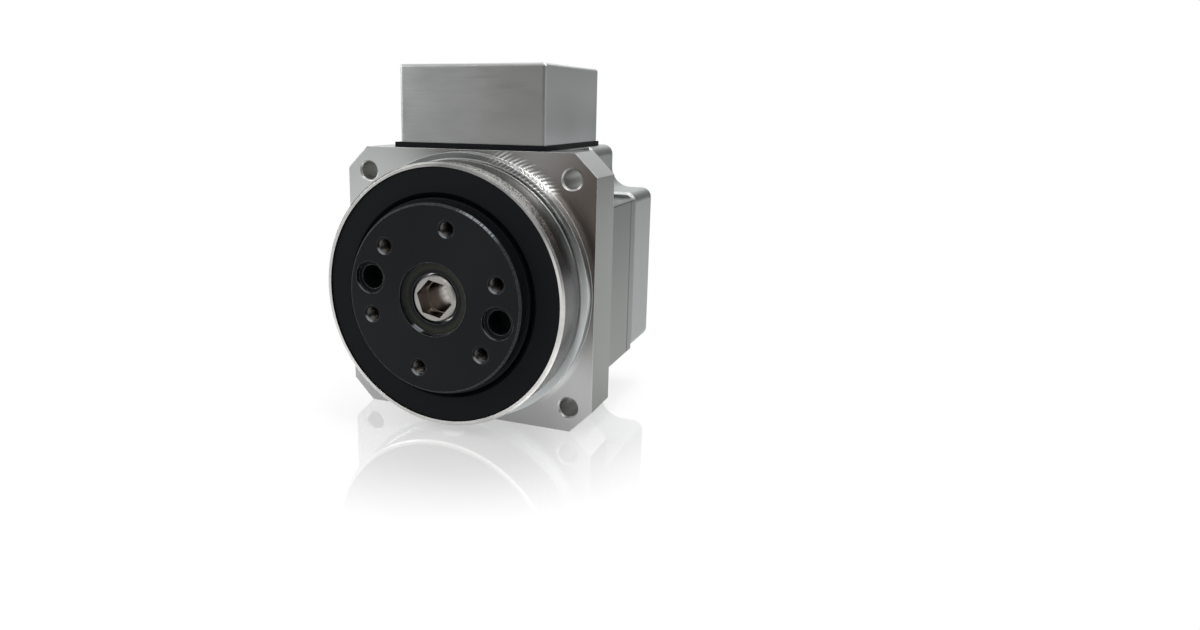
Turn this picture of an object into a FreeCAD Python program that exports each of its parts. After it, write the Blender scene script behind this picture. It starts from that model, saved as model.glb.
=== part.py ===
import FreeCAD, Part
import math
import os
from FreeCAD import Vector

# Millimetres. The turning axis is Y and the output face looks along -Y. Z points up.
# The origin is the centre of the square flange's front face.
# Radii are worked out from the hollow shaft outwards, and places along Y from the flange face.
# Each value below is a length, a wall, a step or a gap that can be set by itself.

# Hollow shaft with its hexagon socket
shaft_radius = 4.0
shaft_wall = 1.1
shaft_collar_step = 0.15
shaft_front_setback = 0.75
shaft_rear_setback = 0.6
hex_across_flats = 6.0
hex_depth = 3.0
hex_turn = -18.0
hub_chamfer = 0.3

# Wave generator on the shaft
cam_web = 5.23
cam_hole_radius = 1.0
cam_hole_count = 4
wave_setback = 1.0
wave_race_thickness = 0.8
wave_roller_diameter = 2.0
wave_roller_count = 18
wave_roller_end_gap = 0.3
wave_clearance = 0.02

# Strain wave gear
spline_wall = 0.35
flexspline_teeth = 60
tooth_difference = 2
tooth_addendum = 0.20
tooth_dedendum = 0.26
tooth_width_share = 0.455
tooth_flank_angle = 25.0
spline_rim = 7.05
spline_length = 7.4
spline_teeth_setback = 0.6
flexspline_boss_thickness = 1.2
flexspline_bore_clearance = 1.2
diaphragm_thickness = 0.45
diaphragm_setback = 0.7
cup_relief = 0.04
round_stretch = 0.001
clamp_thickness = 1.0
clamp_bore_clearance = 1.6

# Crossed roller bearing at the output
bearing_shoulder = 2.35
bearing_ring_height = 8.0
bearing_neck_length = 0.8
bearing_neck_depth = 0.45
bearing_spigot_depth = 2.0
bearing_race_wall = 4.45
bearing_edge_chamfer = 0.3
roller_diameter = 3.4
roller_count = 26
roller_setback = 5.0
roller_clearance = 0.03
roller_end_clearance = 0.12
race_gap = 0.5
race_lip_length = 3.9
race_lip_height = 2.2
plug_radius = 2.0
plug_clearance = 0.02
plug_pin_radius = 0.6
plug_pin_cover = 0.55
plug_pin_reach = 0.6

# Square mounting flange and its four screw holes
register_step = 1.25
register_height = 2.2
flange_margin = 0.4
flange_thickness = 9.45
flange_corner_chamfer = 4.1
flange_hole_inset = 4.5
flange_hole_radius = 1.7
flange_hole_chamfer = 0.3

# Motor housing behind the flange, notched so that the screws can be reached
notch_radius = 5.2
body_edge_radius = 0.5
lip_clearance = 0.25
lip_thickness = 3.0
motor_bore_inset = 2.5
motor_bore_step = 0.2
lead_slot_half_width = 4.5
lead_slot_length = 1.6
lead_slot_gap = 0.1

# Output seal
seal_wall = 0.79
seal_setback = 0.23
seal_width = 4.56
seal_body_thickness = 1.67
seal_edge_chamfer = 0.15
seal_mouth_chamfer = 0.2
seal_lip_clearance = 0.05
seal_lip_setback = 0.7
seal_lip_width = 0.3
seal_lip_rise = 1.0
seal_groove_depth = 0.9
seal_groove_width = 1.9

# Output flange, which is also the inner ring of the crossed roller bearing
seal_land_gap = 0.7
seal_land_length = 2.4
disc_step = 0.64
disc_proud = 2.45
disc_edge_chamfer = 0.35
disc_thickness = 2.25
output_rear_gap = 0.6
output_hole_inset = 3.96
output_hole_count = 6
output_hole_start = 13.0
output_tap_radius = 1.25
output_tap_depth = 6.5
output_tap_chamfer = 0.3
output_dowel_count = 2
output_dowel_turn = 90.0
output_dowel_radius = 2.15
output_dowel_depth = 5.5
output_dowel_recess_radius = 2.9
output_dowel_recess_depth = 0.9
output_recess_width = 2.35
output_recess_depth = 1.0
output_recess_fillet = 0.2
hub_gap = 0.35

# Ball bearings of the hollow shaft
front_bearing_height = 2.0
front_bearing_setback = 2.45
front_bearing_width = 2.5
rear_bearing_height = 3.0
rear_bearing_setback = 0.6
rear_bearing_width = 3.0
bearing_ring_share = 0.3
bearing_ball_share = 0.3
bearing_ball_width_share = 0.36
bearing_ball_clearance = 0.02
bearing_seat_relief = 0.2
bearing_seat_step = 1.0
front_ball_count = 8
rear_ball_count = 7

# Spacers and circlip on the shaft
front_spacer_wall = 0.8
spacer_wall = 1.2
circlip_thickness = 0.6
circlip_groove_depth = 0.3
circlip_wall = 1.4
circlip_half_opening = 0.9

# Motor
stator_setback = 3.4
stator_length = 5.0
stator_slots = 12
stator_height = 7.8
stator_yoke = 2.2
stator_tooth_width = 2.6
stator_shoe_width = 4.4
stator_shoe_height = 0.9
coil_overhang = 0.95
coil_clearance = 0.1
coil_yoke_gap = 0.6
coil_flare = 0.7
air_gap = 0.4
magnet_count = 14
magnet_thickness = 1.7
magnet_share = 0.9
rotor_iron = 1.6
rotor_hub_wall = 1.6
rotor_hub_front_reach = 1.0
rotor_hub_rear_reach = 1.2
rotor_web_thickness = 2.4
lead_radius = 0.45
lead_spacing = 2.6
lead_setback = 0.7

# Rear cover
body_rear_gap = 2.6
cover_notch_radius = 4.1
cover_edge_radius = 2.0
cover_front_chamfer = 0.5
cover_spigot_gap = 0.1
cover_spigot_wall = 1.1
cover_spigot_clearance = 0.05
cover_web_setback = 1.2
cover_front_wall = 1.9
cover_rear_wall = 3.5
cover_rear_depth = 2.7
cover_screw_inset_x = 3.8
cover_screw_inset_z = 3.1
boss_root = 0.5
end_plate_seat = 1.4
end_plate_thickness = 1.6
end_plate_clearance = 0.05
end_plate_bore_clearance = 0.5
end_plate_boss_radius = 1.8

# Encoder
encoder_disc_setback = 1.4
encoder_disc_thickness = 0.8
encoder_disc_inset = 1.5
encoder_board_gap = 1.1
encoder_board_thickness = 0.8
encoder_board_bore = 6.4
encoder_board_clearance = 0.4
encoder_board_notch = 2.0
encoder_post_inset = 2.0
encoder_post_radius = 1.4
encoder_chip_size = 4.0
encoder_chip_gap = 0.3
encoder_chip_inset = 0.4

# Drive box on top
box_front = 1.9
box_rear_setback = 5.2
box_height = 14.2
box_wall = 1.2
box_edge_radius = 0.6
box_post_radius = 2.8
box_post_root = 0.2
box_screw_inset = 3.6
gasket_thickness = 0.9
gasket_reach = 0.3
gasket_side_reach = 1.0
gasket_frame = 2.0
standoff_height = 3.8
standoff_radius = 1.5
standoff_inset = 2.2
standoff_front_inset = 2.0
board_thickness = 1.2
board_clearance = 0.6
board_post_gap = 0.3
socket_width = 7.2
socket_height = 5.2
socket_length = 8.4
socket_wall = 0.9
socket_depth = 5.5
socket_gap = 1.4
socket_post_gap = 0.3
socket_clearance = 0.2
socket_protrusion = 0.2
socket_pin_radius = 0.3
socket_pin_root = 1.0
socket_pin_setback = 1.2
transistor_size = 3.4
transistor_depth = 2.8
transistor_height = 1.1
transistor_gap = 1.4
transistor_row_gap = 4.6
transistor_setback = 0.8
capacitor_radius = 2.6
capacitor_height = 6.2
capacitor_inset = 0.6
capacitor_setback = 6.09

# Screws, by thread radius, and how far each bites beyond the face it pulls against
m2_tap_radius = 0.8
m2_clearance_radius = 1.15
m2_head_radius = 1.9
m2_head_height = 2.0
m25_tap_radius = 1.02
m25_clearance_radius = 1.4
m25_head_radius = 2.25
m25_head_height = 2.5
m16_tap_radius = 0.62
m16_radius = 0.8
m16_clearance_radius = 0.9
m16_head_radius = 1.5
m16_head_height = 0.9
head_clearance = 0.1
head_socket_share = 0.8
ring_screw_inset = 2.3
ring_screw_count = 6
ring_screw_start = 0.0
ring_screw_bite = 2.5
ring_hole_spare = 0.5
housing_screw_inset = 4.65
housing_screw_count = 6
housing_screw_start = 30.0
housing_screw_bite = 3.0
housing_hole_spare = 1.0
flex_screw_offset = 2.5
flex_screw_edge = 2.2
flex_screw_count = 6
flex_screw_turn = 30.0
flex_screw_bite = 2.8
flex_hole_spare = 0.4
cover_screw_bite = 11.0
cover_hole_spare = 1.0
encoder_screw_count = 3
encoder_screw_bite = 1.8
encoder_hole_spare = 0.2
end_screw_count = 3
end_screw_inset = 2.1
end_screw_bite = 2.0
end_hole_spare = 0.6
box_screw_bite = 3.2
box_hole_spare = 0.4

# Radii on the shaft and in the wave generator
origin = Vector(0, 0, 0)
along_y = Vector(0, 1, 0)
up = Vector(0, 0, 1)
shaft_bore_radius = shaft_radius - shaft_wall
shaft_collar_radius = shaft_radius + shaft_collar_step
front_bearing_outer = shaft_radius + front_bearing_height
rear_bearing_outer = shaft_radius + rear_bearing_height
front_spacer_radius = shaft_radius + front_spacer_wall
spacer_radius = shaft_radius + spacer_wall
circlip_radius = shaft_radius + circlip_wall
rotor_hub_radius = shaft_radius + rotor_hub_wall
cam_radius = shaft_radius + cam_web
wave_inner_race = cam_radius + wave_race_thickness
wave_roller_pitch = wave_inner_race + wave_clearance + wave_roller_diameter / 2
wave_race_bore = wave_roller_pitch + wave_roller_diameter / 2 + wave_clearance
wave_outer = wave_race_bore + wave_race_thickness

# Radii of the gear: its module follows from the pitch circle and the number of teeth
flexspline_inner = wave_outer + wave_clearance
flexspline_root = flexspline_inner + spline_wall
flexspline_pitch = flexspline_root + tooth_dedendum
tooth_module = 2 * flexspline_pitch / flexspline_teeth
circular_spline_teeth = flexspline_teeth + tooth_difference
circular_spline_pitch = tooth_module * circular_spline_teeth / 2
deflection = circular_spline_pitch - flexspline_pitch
flexspline_bore = shaft_radius + flexspline_bore_clearance
flex_screw_circle = flexspline_bore + flex_screw_offset
flexspline_boss_radius = flex_screw_circle + flex_screw_edge
clamp_bore = shaft_radius + clamp_bore_clearance

# Radii of the housing and flange, from the gear outwards
gear_bore_radius = circular_spline_pitch + spline_rim
lip_bore_radius = circular_spline_pitch + lip_clearance
bearing_ring_radius = gear_bore_radius + bearing_shoulder
register_radius = bearing_ring_radius + register_step
flange_size = 2 * (register_radius + flange_margin)
flange_hole_spacing = flange_size - 2 * flange_hole_inset
half_flange = flange_size / 2
hole_offset = flange_hole_spacing / 2
body_reach = hole_offset - notch_radius
ring_screw_circle = gear_bore_radius - ring_screw_inset
housing_screw_circle = gear_bore_radius - housing_screw_inset

# Radii of the output bearing, seal and disc, from the bearing ring inwards
neck_radius = bearing_ring_radius - bearing_neck_depth
seal_radius = bearing_ring_radius - seal_wall
seal_opening_radius = seal_radius - seal_width
seal_land_radius = seal_opening_radius - seal_land_gap
disc_radius = seal_land_radius - disc_step
output_hole_circle = 2 * (disc_radius - output_hole_inset)
output_recess_radius = shaft_collar_radius + output_recess_width
roller_pitch_radius = bearing_ring_radius - bearing_race_wall
bearing_lip_bore = roller_pitch_radius - race_lip_height
half_diagonal = roller_diameter / math.sqrt(2)

# Radii of the motor, the rear cover and the encoder, from the motor bore inwards
motor_bore_radius = gear_bore_radius - motor_bore_inset
stator_bore_radius = motor_bore_radius - stator_height
coil_outer_radius = motor_bore_radius - stator_yoke - coil_yoke_gap
rotor_radius = stator_bore_radius - air_gap
magnet_inner = rotor_radius - magnet_thickness
rotor_iron_inner = magnet_inner - rotor_iron
cover_front_cavity = motor_bore_radius - cover_front_wall
cover_rear_cavity = motor_bore_radius - cover_rear_wall
cover_reach_upper = hole_offset - cover_notch_radius
cover_reach_lower = body_reach
cover_screw_x = half_flange - cover_screw_inset_x
cover_screw_z = body_reach - cover_screw_inset_z
end_plate_radius = cover_rear_cavity + end_plate_seat
end_plate_bore = shaft_radius + end_plate_bore_clearance
end_plate_screw_circle = end_plate_radius - end_screw_inset
encoder_board_radius = cover_rear_cavity - encoder_board_clearance
encoder_post_circle = cover_rear_cavity - encoder_post_inset
encoder_disc_radius = encoder_post_circle - encoder_disc_inset

# Places along Y in front of the flange face
bearing_ring_front = -register_height - bearing_ring_height
roller_plane = bearing_ring_front + roller_setback
bearing_lip_front = roller_plane + race_lip_length
seal_front = bearing_ring_front + seal_setback
disc_front = bearing_ring_front - disc_proud
disc_rear = disc_front + disc_thickness
seal_land_rear = disc_rear + seal_land_length
output_rear = bearing_lip_front - output_rear_gap
diaphragm_front = output_rear + diaphragm_setback
clamp_front = max(output_rear + flexspline_boss_thickness, diaphragm_front + diaphragm_thickness)
flex_screw_seat = clamp_front + clamp_thickness
shaft_front = disc_front + shaft_front_setback
front_bearing_front = disc_front + front_bearing_setback

# Places along Y behind it
spline_front = bearing_spigot_depth
gear_bore_depth = spline_front + spline_length
spline_teeth_front = spline_front + spline_teeth_setback
spline_teeth_length = spline_length - 2 * spline_teeth_setback
ring_screw_seat = gear_bore_depth - m2_head_height - head_clearance
wave_front = spline_teeth_front + wave_setback
wave_width = spline_teeth_length - 2 * wave_setback
lip_rear = gear_bore_depth + lip_thickness
stator_front = lip_rear + stator_setback
stator_rear = stator_front + stator_length
rotor_hub_front = stator_front - rotor_hub_front_reach
rotor_hub_rear = stator_rear + rotor_hub_rear_reach
body_rear = stator_rear + body_rear_gap
cover_spigot_front = stator_rear + cover_spigot_gap
cover_web_front = body_rear + cover_web_setback
rear_bearing_front = cover_web_front + rear_bearing_setback
cover_web_rear = rear_bearing_front + rear_bearing_width
encoder_disc_front = cover_web_rear + encoder_disc_setback
encoder_board_front = encoder_disc_front + encoder_disc_thickness + encoder_board_gap
encoder_board_rear = encoder_board_front + encoder_board_thickness
cover_rear = encoder_board_rear + cover_rear_depth
cover_screw_seat = cover_rear - m25_head_height - head_clearance
plate_front = cover_rear - end_plate_thickness
end_screw_seat = cover_rear - m16_head_height - head_clearance
shaft_rear = cover_rear - shaft_rear_setback

# Screw lengths under the head
ring_screw_length = ring_screw_seat - bearing_spigot_depth + ring_screw_bite
housing_screw_length = lip_thickness + housing_screw_bite
flex_screw_length = flex_screw_seat - output_rear + flex_screw_bite
cover_screw_length = cover_screw_seat - body_rear + cover_screw_bite
encoder_screw_length = encoder_board_thickness + encoder_screw_bite
end_screw_length = end_screw_seat - plate_front + end_screw_bite

# Drive box, standing on its gasket over the housing. Its width comes from the two sockets
# side by side between its screw posts.
data_socket_x = (socket_gap + socket_width) / 2
power_socket_x = -data_socket_x
box_screw_x = socket_gap / 2 + socket_width + socket_post_gap + box_post_radius
box_half_width = box_screw_x + box_screw_inset
box_rear = cover_rear - box_rear_setback
box_bottom = half_flange + gasket_thickness
box_top = box_bottom + box_height
board_bottom = half_flange + standoff_height
board_top = board_bottom + board_thickness
board_half_width = box_half_width - box_wall - board_clearance
board_front = box_front + box_screw_inset + box_post_radius + board_post_gap
board_rear = box_rear - box_screw_inset - box_post_radius - board_post_gap
standoff_x = board_half_width - standoff_inset


def cylinder(y0, y1, radius, x=0.0, z=0.0):
    return Part.makeCylinder(radius, y1 - y0, Vector(x, y0, z), along_y)


def tube(y0, y1, outer, inner):
    return cylinder(y0, y1, outer).cut(cylinder(y0, y1, inner))


def block(x0, x1, y0, y1, z0, z1):
    return Part.makeBox(x1 - x0, y1 - y0, z1 - z0, Vector(x0, y0, z0))


def turned(profile):
    # A closed profile of (y, radius) points turned about the Y axis.
    points = [Vector(r, y, 0) for y, r in profile]
    points.append(points[0])
    return Part.Face(Part.makePolygon(points)).revolve(origin, along_y, 360)


def on_circle(radius, degrees):
    # Degrees run clockwise from straight up, as seen from the front.
    angle = math.radians(degrees)
    return radius * math.sin(angle), radius * math.cos(angle)


def places_on_circle(count, radius, start):
    return [on_circle(radius, start + 360.0 * i / count) for i in range(count)]


def turned_copy(shape, degrees):
    copy = shape.copy()
    copy.rotate(origin, along_y, degrees)
    return copy


def ring_of(shape, count, start=0.0):
    return [turned_copy(shape, start + 360.0 * i / count) for i in range(count)]


def group(shapes):
    return Part.makeCompound(shapes)


def prism(wire, y0, y1):
    moved = wire.copy()
    moved.translate(Vector(0, y0, 0))
    return Part.Face(moved).extrude(Vector(0, y1 - y0, 0))


def hex_prism(across_flats, y0, y1, x=0.0, z=0.0, turn=0.0):
    corner = across_flats / math.sqrt(3)
    points = []
    for i in range(7):
        px, pz = on_circle(corner, turn + 60.0 * i)
        points.append(Vector(x + px, 0, z + pz))
    return prism(Part.makePolygon(points), y0, y1)


def cone_mouth(y_face, radius, depth, sense, x, z):
    # A 45 degree chamfer at a hole's mouth; sense is +1 where the hole runs along +Y.
    start = Vector(x, y_face, z)
    return Part.makeCone(radius + depth, radius, depth, start, Vector(0, sense, 0))


def screw(radius, head_radius, head_height, length, y_seat, sense, x, z):
    # A cap screw whose head sits on y_seat; sense is +1 where the shank runs along +Y.
    head = Part.makeCylinder(head_radius, head_height, Vector(x, y_seat, z), Vector(0, -sense, 0))
    shank = Part.makeCylinder(radius, length, Vector(x, y_seat, z), Vector(0, sense, 0))
    depth = head_height / 2
    top = y_seat - sense * head_height
    y0 = min(top, top + sense * depth)
    return head.fuse(shank).cut(hex_prism(head_radius * head_socket_share, y0, y0 + depth, x, z))


def notched_outline(reach_upper, reach_lower, edge_radius):
    # A square with four round-bottomed notches, each concentric with a flange hole.
    half = half_flange
    c = hole_offset
    edges = []
    corners = []
    for sx, sz in ((1, 1), (1, -1), (-1, -1), (-1, 1)):
        reach = reach_upper if sz > 0 else reach_lower
        notch = c - reach
        e = edge_radius
        k = e * (1 - math.sqrt(0.5))
        d = notch * math.sqrt(0.5)
        top = [
            (reach - e, half),
            (reach - k, half - k),
            (reach, half - e),
            (reach, c),
            (c - d, c - d),
            (c, reach),
            (half - e, reach),
            (half - k, reach - k),
            (half, reach - e),
        ]
        if sx * sz < 0:
            top = top[::-1]
        corners.append([Vector(sx * px, 0, sz * pz) for px, pz in top])
    for n, q in enumerate(corners):
        following = corners[(n + 1) % 4][0]
        edges.append(Part.Arc(q[0], q[1], q[2]).toShape())
        edges.append(Part.LineSegment(q[2], q[3]).toShape())
        edges.append(Part.Arc(q[3], q[4], q[5]).toShape())
        edges.append(Part.LineSegment(q[5], q[6]).toShape())
        edges.append(Part.Arc(q[6], q[7], q[8]).toShape())
        edges.append(Part.LineSegment(q[8], following).toShape())
    return Part.Wire(edges)


def flange_outline():
    half = half_flange
    short = half - flange_corner_chamfer
    points = []
    for sx, sz in ((1, 1), (1, -1), (-1, -1), (-1, 1)):
        pair = [Vector(sx * short, 0, sz * half), Vector(sx * half, 0, sz * short)]
        points += pair if sx * sz > 0 else pair[::-1]
    return Part.makePolygon(points + [points[0]])


def ring_screw_places():
    return places_on_circle(ring_screw_count, ring_screw_circle, ring_screw_start)


def housing_screw_places():
    return places_on_circle(housing_screw_count, housing_screw_circle, housing_screw_start)


def flex_screw_places():
    return places_on_circle(flex_screw_count, flex_screw_circle, output_hole_start + flex_screw_turn)


def encoder_screw_places():
    return places_on_circle(encoder_screw_count, encoder_post_circle, 0.0)


def end_screw_places():
    # These screws stand midway between the encoder's.
    return places_on_circle(end_screw_count, end_plate_screw_circle, 180.0 / end_screw_count)


def hole_centres(x, z):
    return [(sx * x, sz * z) for sx in (1, -1) for sz in (1, -1)]


def main_housing():
    solid = prism(flange_outline(), 0, flange_thickness)
    body = prism(notched_outline(body_reach, body_reach, body_edge_radius), 0, body_rear)
    solid = solid.fuse(body)
    solid = solid.fuse(cylinder(-register_height, 1, register_radius))
    solid = solid.cut(cylinder(-register_height - 1, gear_bore_depth, gear_bore_radius))
    solid = solid.cut(cylinder(0, body_rear, lip_bore_radius))
    solid = solid.cut(cylinder(lip_rear, stator_front, motor_bore_radius - motor_bore_step))
    solid = solid.cut(cylinder(stator_front, body_rear + 1, motor_bore_radius))
    for x, z in hole_centres(hole_offset, hole_offset):
        solid = solid.cut(cylinder(-1, flange_thickness, flange_hole_radius, x, z))
        solid = solid.cut(cone_mouth(0, flange_hole_radius, flange_hole_chamfer, 1, x, z))
    for x, z in housing_screw_places():
        solid = solid.cut(cylinder(gear_bore_depth - 1, lip_rear + 1, m2_clearance_radius, x, z))
    for x, z in hole_centres(cover_screw_x, cover_screw_z):
        depth = cover_screw_bite + cover_hole_spare
        solid = solid.cut(cylinder(body_rear - depth, body_rear + 1, m25_tap_radius, x, z))
    slot_front = stator_front - lead_slot_length
    half = lead_slot_half_width
    slot_rear = stator_front - lead_slot_gap
    solid = solid.cut(block(-half, half, slot_front, slot_rear, motor_bore_radius - 1, half_flange + 1))
    for x, y in box_screw_places():
        if y < body_rear:
            solid = solid.cut(box_screw_hole(x, y))
    return solid.removeSplitter()


def box_screw_hole(x, y):
    depth = box_screw_bite + box_hole_spare
    return Part.makeCylinder(m2_tap_radius, depth + 1, Vector(x, y, half_flange + 1), -up)


def bearing_outer_ring():
    r = roller_pitch_radius
    land = r + race_gap / 2
    flat = half_diagonal + roller_clearance * math.sqrt(2)
    reach = r + flat
    half_mouth = reach - land
    neck_front = -register_height - bearing_neck_length
    seat = seal_front + seal_body_thickness
    profile = [
        (bearing_ring_front, bearing_ring_radius - bearing_edge_chamfer),
        (bearing_ring_front + bearing_edge_chamfer, bearing_ring_radius),
        (neck_front, bearing_ring_radius),
        (neck_front, neck_radius),
        (-register_height, neck_radius),
        (-register_height, gear_bore_radius),
        (bearing_spigot_depth, gear_bore_radius),
        (bearing_spigot_depth, bearing_lip_bore),
        (bearing_lip_front, bearing_lip_bore),
        (bearing_lip_front, land),
        (roller_plane + half_mouth, land),
        (roller_plane, reach),
        (roller_plane - half_mouth, land),
        (seat, land),
        (seat, seal_radius),
        (bearing_ring_front, seal_radius),
    ]
    ring = turned(profile)
    wall = bearing_ring_radius - land
    hole = Part.makeCylinder(plug_radius, wall + 2, Vector(0, roller_plane, -land + 1), -up)
    ring = ring.cut(hole)
    ring = ring.cut(bearing_plug_pin())
    for x, z in ring_screw_places():
        depth = ring_screw_bite + ring_hole_spare
        ring = ring.cut(cylinder(bearing_spigot_depth - depth, bearing_spigot_depth + 1, m2_tap_radius, x, z))
    return ring


def bearing_plug_pin():
    # The pin runs along Y from the seal seat into the plug's side, so the seal covers it.
    z = -(bearing_ring_radius - plug_pin_radius - plug_pin_cover)
    start = seal_front + seal_body_thickness
    return cylinder(start, roller_plane + plug_pin_reach, plug_pin_radius, 0, z)


def bearing_plug():
    land = roller_pitch_radius + race_gap / 2
    top = Vector(0, roller_plane, -land)
    plug = Part.makeCylinder(plug_radius - plug_clearance, bearing_ring_radius - land + 1, top, -up)
    half = plug_radius + 1
    ring = tube(roller_plane - half, roller_plane + half, bearing_ring_radius, land - 1)
    reach = roller_pitch_radius + half_diagonal + roller_clearance * math.sqrt(2)
    wide = reach - land + 1
    groove = turned([
        (roller_plane - wide, land - 1),
        (roller_plane, reach),
        (roller_plane + wide, land - 1),
    ])
    return plug.common(ring).cut(groove).cut(bearing_plug_pin())


def output_seal():
    y0 = seal_front
    y1 = seal_front + seal_body_thickness
    lip = seal_land_radius + seal_lip_clearance
    lip_front = y1 - seal_lip_setback
    profile = [
        (y1, seal_radius),
        (y0 + seal_edge_chamfer, seal_radius),
        (y0, seal_radius - seal_edge_chamfer),
        (y0, seal_opening_radius + seal_mouth_chamfer),
        (y0 + seal_mouth_chamfer, seal_opening_radius),
        (lip_front, lip),
        (lip_front + seal_lip_width, lip),
        (lip_front, lip + seal_lip_rise),
        (y1 - seal_groove_depth, lip + seal_groove_width),
        (y1, lip + seal_groove_width),
    ]
    return turned(profile)


def output_flange():
    r = roller_pitch_radius
    land = r - race_gap / 2
    flat = half_diagonal + roller_clearance * math.sqrt(2)
    reach = r - flat
    half_mouth = land - reach
    e = disc_edge_chamfer
    bearing_rear = front_bearing_front + front_bearing_width
    profile = [
        (disc_front + output_recess_depth, shaft_collar_radius + hub_gap),
        (disc_front + output_recess_depth, output_recess_radius - output_recess_fillet),
        (disc_front + output_recess_depth - output_recess_fillet, output_recess_radius),
        (disc_front, output_recess_radius),
        (disc_front, disc_radius - e),
        (disc_front + e, disc_radius),
        (disc_rear, disc_radius),
        (disc_rear, seal_land_radius),
        (seal_land_rear, seal_land_radius),
        (seal_land_rear, land),
        (roller_plane - half_mouth, land),
        (roller_plane, reach),
        (roller_plane + half_mouth, land),
        (output_rear, land),
        (output_rear, front_bearing_outer + bearing_seat_relief),
        (bearing_rear, front_bearing_outer + bearing_seat_relief),
        (bearing_rear, front_bearing_outer),
        (front_bearing_front, front_bearing_outer),
        (front_bearing_front, shaft_collar_radius + hub_gap),
    ]
    solid = turned(profile)
    pitch = output_hole_circle / 2
    tapped_end = disc_front + output_tap_depth
    for x, z in places_on_circle(output_hole_count, pitch, output_hole_start):
        solid = solid.cut(cylinder(disc_front - 1, tapped_end, output_tap_radius, x, z))
        solid = solid.cut(cone_mouth(disc_front, output_tap_radius, output_tap_chamfer, 1, x, z))
    for x, z in places_on_circle(output_dowel_count, pitch, output_hole_start + output_dowel_turn):
        bore_end = disc_front + output_dowel_depth
        solid = solid.cut(cylinder(disc_front - 1, bore_end, output_dowel_radius, x, z))
        recess_end = disc_front + output_dowel_recess_depth
        solid = solid.cut(cylinder(disc_front - 1, recess_end, output_dowel_recess_radius, x, z))
    thread_start = output_rear - flex_screw_bite - flex_hole_spare
    for x, z in flex_screw_places():
        solid = solid.cut(cylinder(thread_start, output_rear + 1, m2_tap_radius, x, z))
    return solid


def bearing_rollers():
    # Neighbouring rollers stand at right angles, each with its axis at 45 degrees to the turning axis.
    length = roller_diameter - 2 * roller_end_clearance
    rollers = []
    for i in range(roller_count):
        lean = 1 if i % 2 == 0 else -1
        axis = Vector(0, lean, 1).normalize()
        middle = Vector(0, roller_plane, roller_pitch_radius)
        roller = Part.makeCylinder(roller_diameter / 2, length, middle - axis * (length / 2), axis)
        rollers.append(turned_copy(roller, 360.0 * i / roller_count))
    return group(rollers)


def tooth_shift(k, teeth, pitch, flexed):
    # Where tooth k lies: its angle from straight up, and its radial shift in the flexed ring.
    angle = 2 * math.pi * k / teeth
    if not flexed:
        return angle, 0.0
    slide = -0.5 * deflection * math.sin(2 * angle) / pitch
    return angle + slide, deflection * math.cos(2 * angle)


def tooth_ring_wire(teeth, pitch, inner_reach, outer_reach, half_at_pitch, narrows, flexed):
    # The toothed outline: each tooth is a trapezoid, wide or narrow at its outer end.
    slope = math.tan(math.radians(tooth_flank_angle))
    points = []
    for k in range(teeth):
        angle, shift = tooth_shift(k, teeth, pitch, flexed)
        radius = pitch + shift
        half_in = half_at_pitch + narrows * inner_reach * slope
        half_out = half_at_pitch - narrows * outer_reach * slope
        corners = [
            (radius - inner_reach, -half_in),
            (radius + outer_reach, -half_out),
            (radius + outer_reach, half_out),
            (radius - inner_reach, half_in),
        ]
        for r, across in corners:
            px = r * math.sin(angle) + across * math.cos(angle)
            pz = r * math.cos(angle) - across * math.sin(angle)
            points.append(Vector(px, 0, pz))
    return Part.makePolygon(points + [points[0]])


def circular_spline():
    rear = gear_bore_depth
    ring = cylinder(spline_front, rear, gear_bore_radius)
    pitch_width = math.pi * tooth_module
    half_space = pitch_width * (1 - tooth_width_share) / 2
    wire = tooth_ring_wire(
        circular_spline_teeth, circular_spline_pitch, tooth_addendum, tooth_dedendum, half_space, 1, False
    )
    ring = ring.cut(prism(wire, spline_front - 1, rear + 1))
    for x, z in ring_screw_places():
        ring = ring.cut(cylinder(spline_front - 1, rear + 1, m2_clearance_radius, x, z))
        ring = ring.cut(cylinder(ring_screw_seat, rear + 1, m2_head_radius + head_clearance, x, z))
    for x, z in housing_screw_places():
        depth = housing_screw_bite + housing_hole_spare
        ring = ring.cut(cylinder(rear - depth, rear + 1, m2_tap_radius, x, z))
    return ring


def oval_wire(radius, y, stretch=deflection):
    # The flexed ring's shape: longer by the stretch upright, shorter by it across.
    ellipse = Part.Ellipse(Vector(0, y, radius + stretch), Vector(radius - stretch, y, 0), Vector(0, y, 0))
    return Part.Wire([ellipse.toShape()])


def oval_prism(radius, y0, y1):
    return Part.Face(oval_wire(radius, y0)).extrude(Vector(0, y1 - y0, 0))


def flexspline():
    # The cup is round at its diaphragm and oval at its teeth.
    wall_start = diaphragm_front + diaphragm_thickness
    teeth_rear = spline_teeth_front + spline_teeth_length
    outer = flexspline_root - cup_relief
    inner = flexspline_inner
    boss = tube(output_rear, output_rear + flexspline_boss_thickness, flexspline_boss_radius, flexspline_bore)
    round_outer = oval_wire(outer, diaphragm_front, round_stretch)
    round_inner = oval_wire(inner, wall_start, round_stretch)
    shell = Part.makeLoft([round_outer, oval_wire(outer, spline_teeth_front)], True, True)
    hollow = Part.makeLoft([round_inner, oval_wire(inner, spline_teeth_front)], True, True)
    half_tooth = math.pi * tooth_module * tooth_width_share / 2
    wire = tooth_ring_wire(
        flexspline_teeth, flexspline_pitch, tooth_dedendum, tooth_addendum, half_tooth, 1, True
    )
    toothed = prism(wire, spline_teeth_front, teeth_rear)
    cup = shell.cut(cylinder(diaphragm_front - 1, wall_start + 1, flexspline_bore))
    cup = cup.cut(hollow).fuse([toothed.cut(oval_prism(inner, spline_teeth_front - 1, teeth_rear + 1)), boss])
    for x, z in flex_screw_places():
        cup = cup.cut(cylinder(output_rear - 1, wall_start + 1, m2_clearance_radius, x, z))
    return cup


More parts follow.
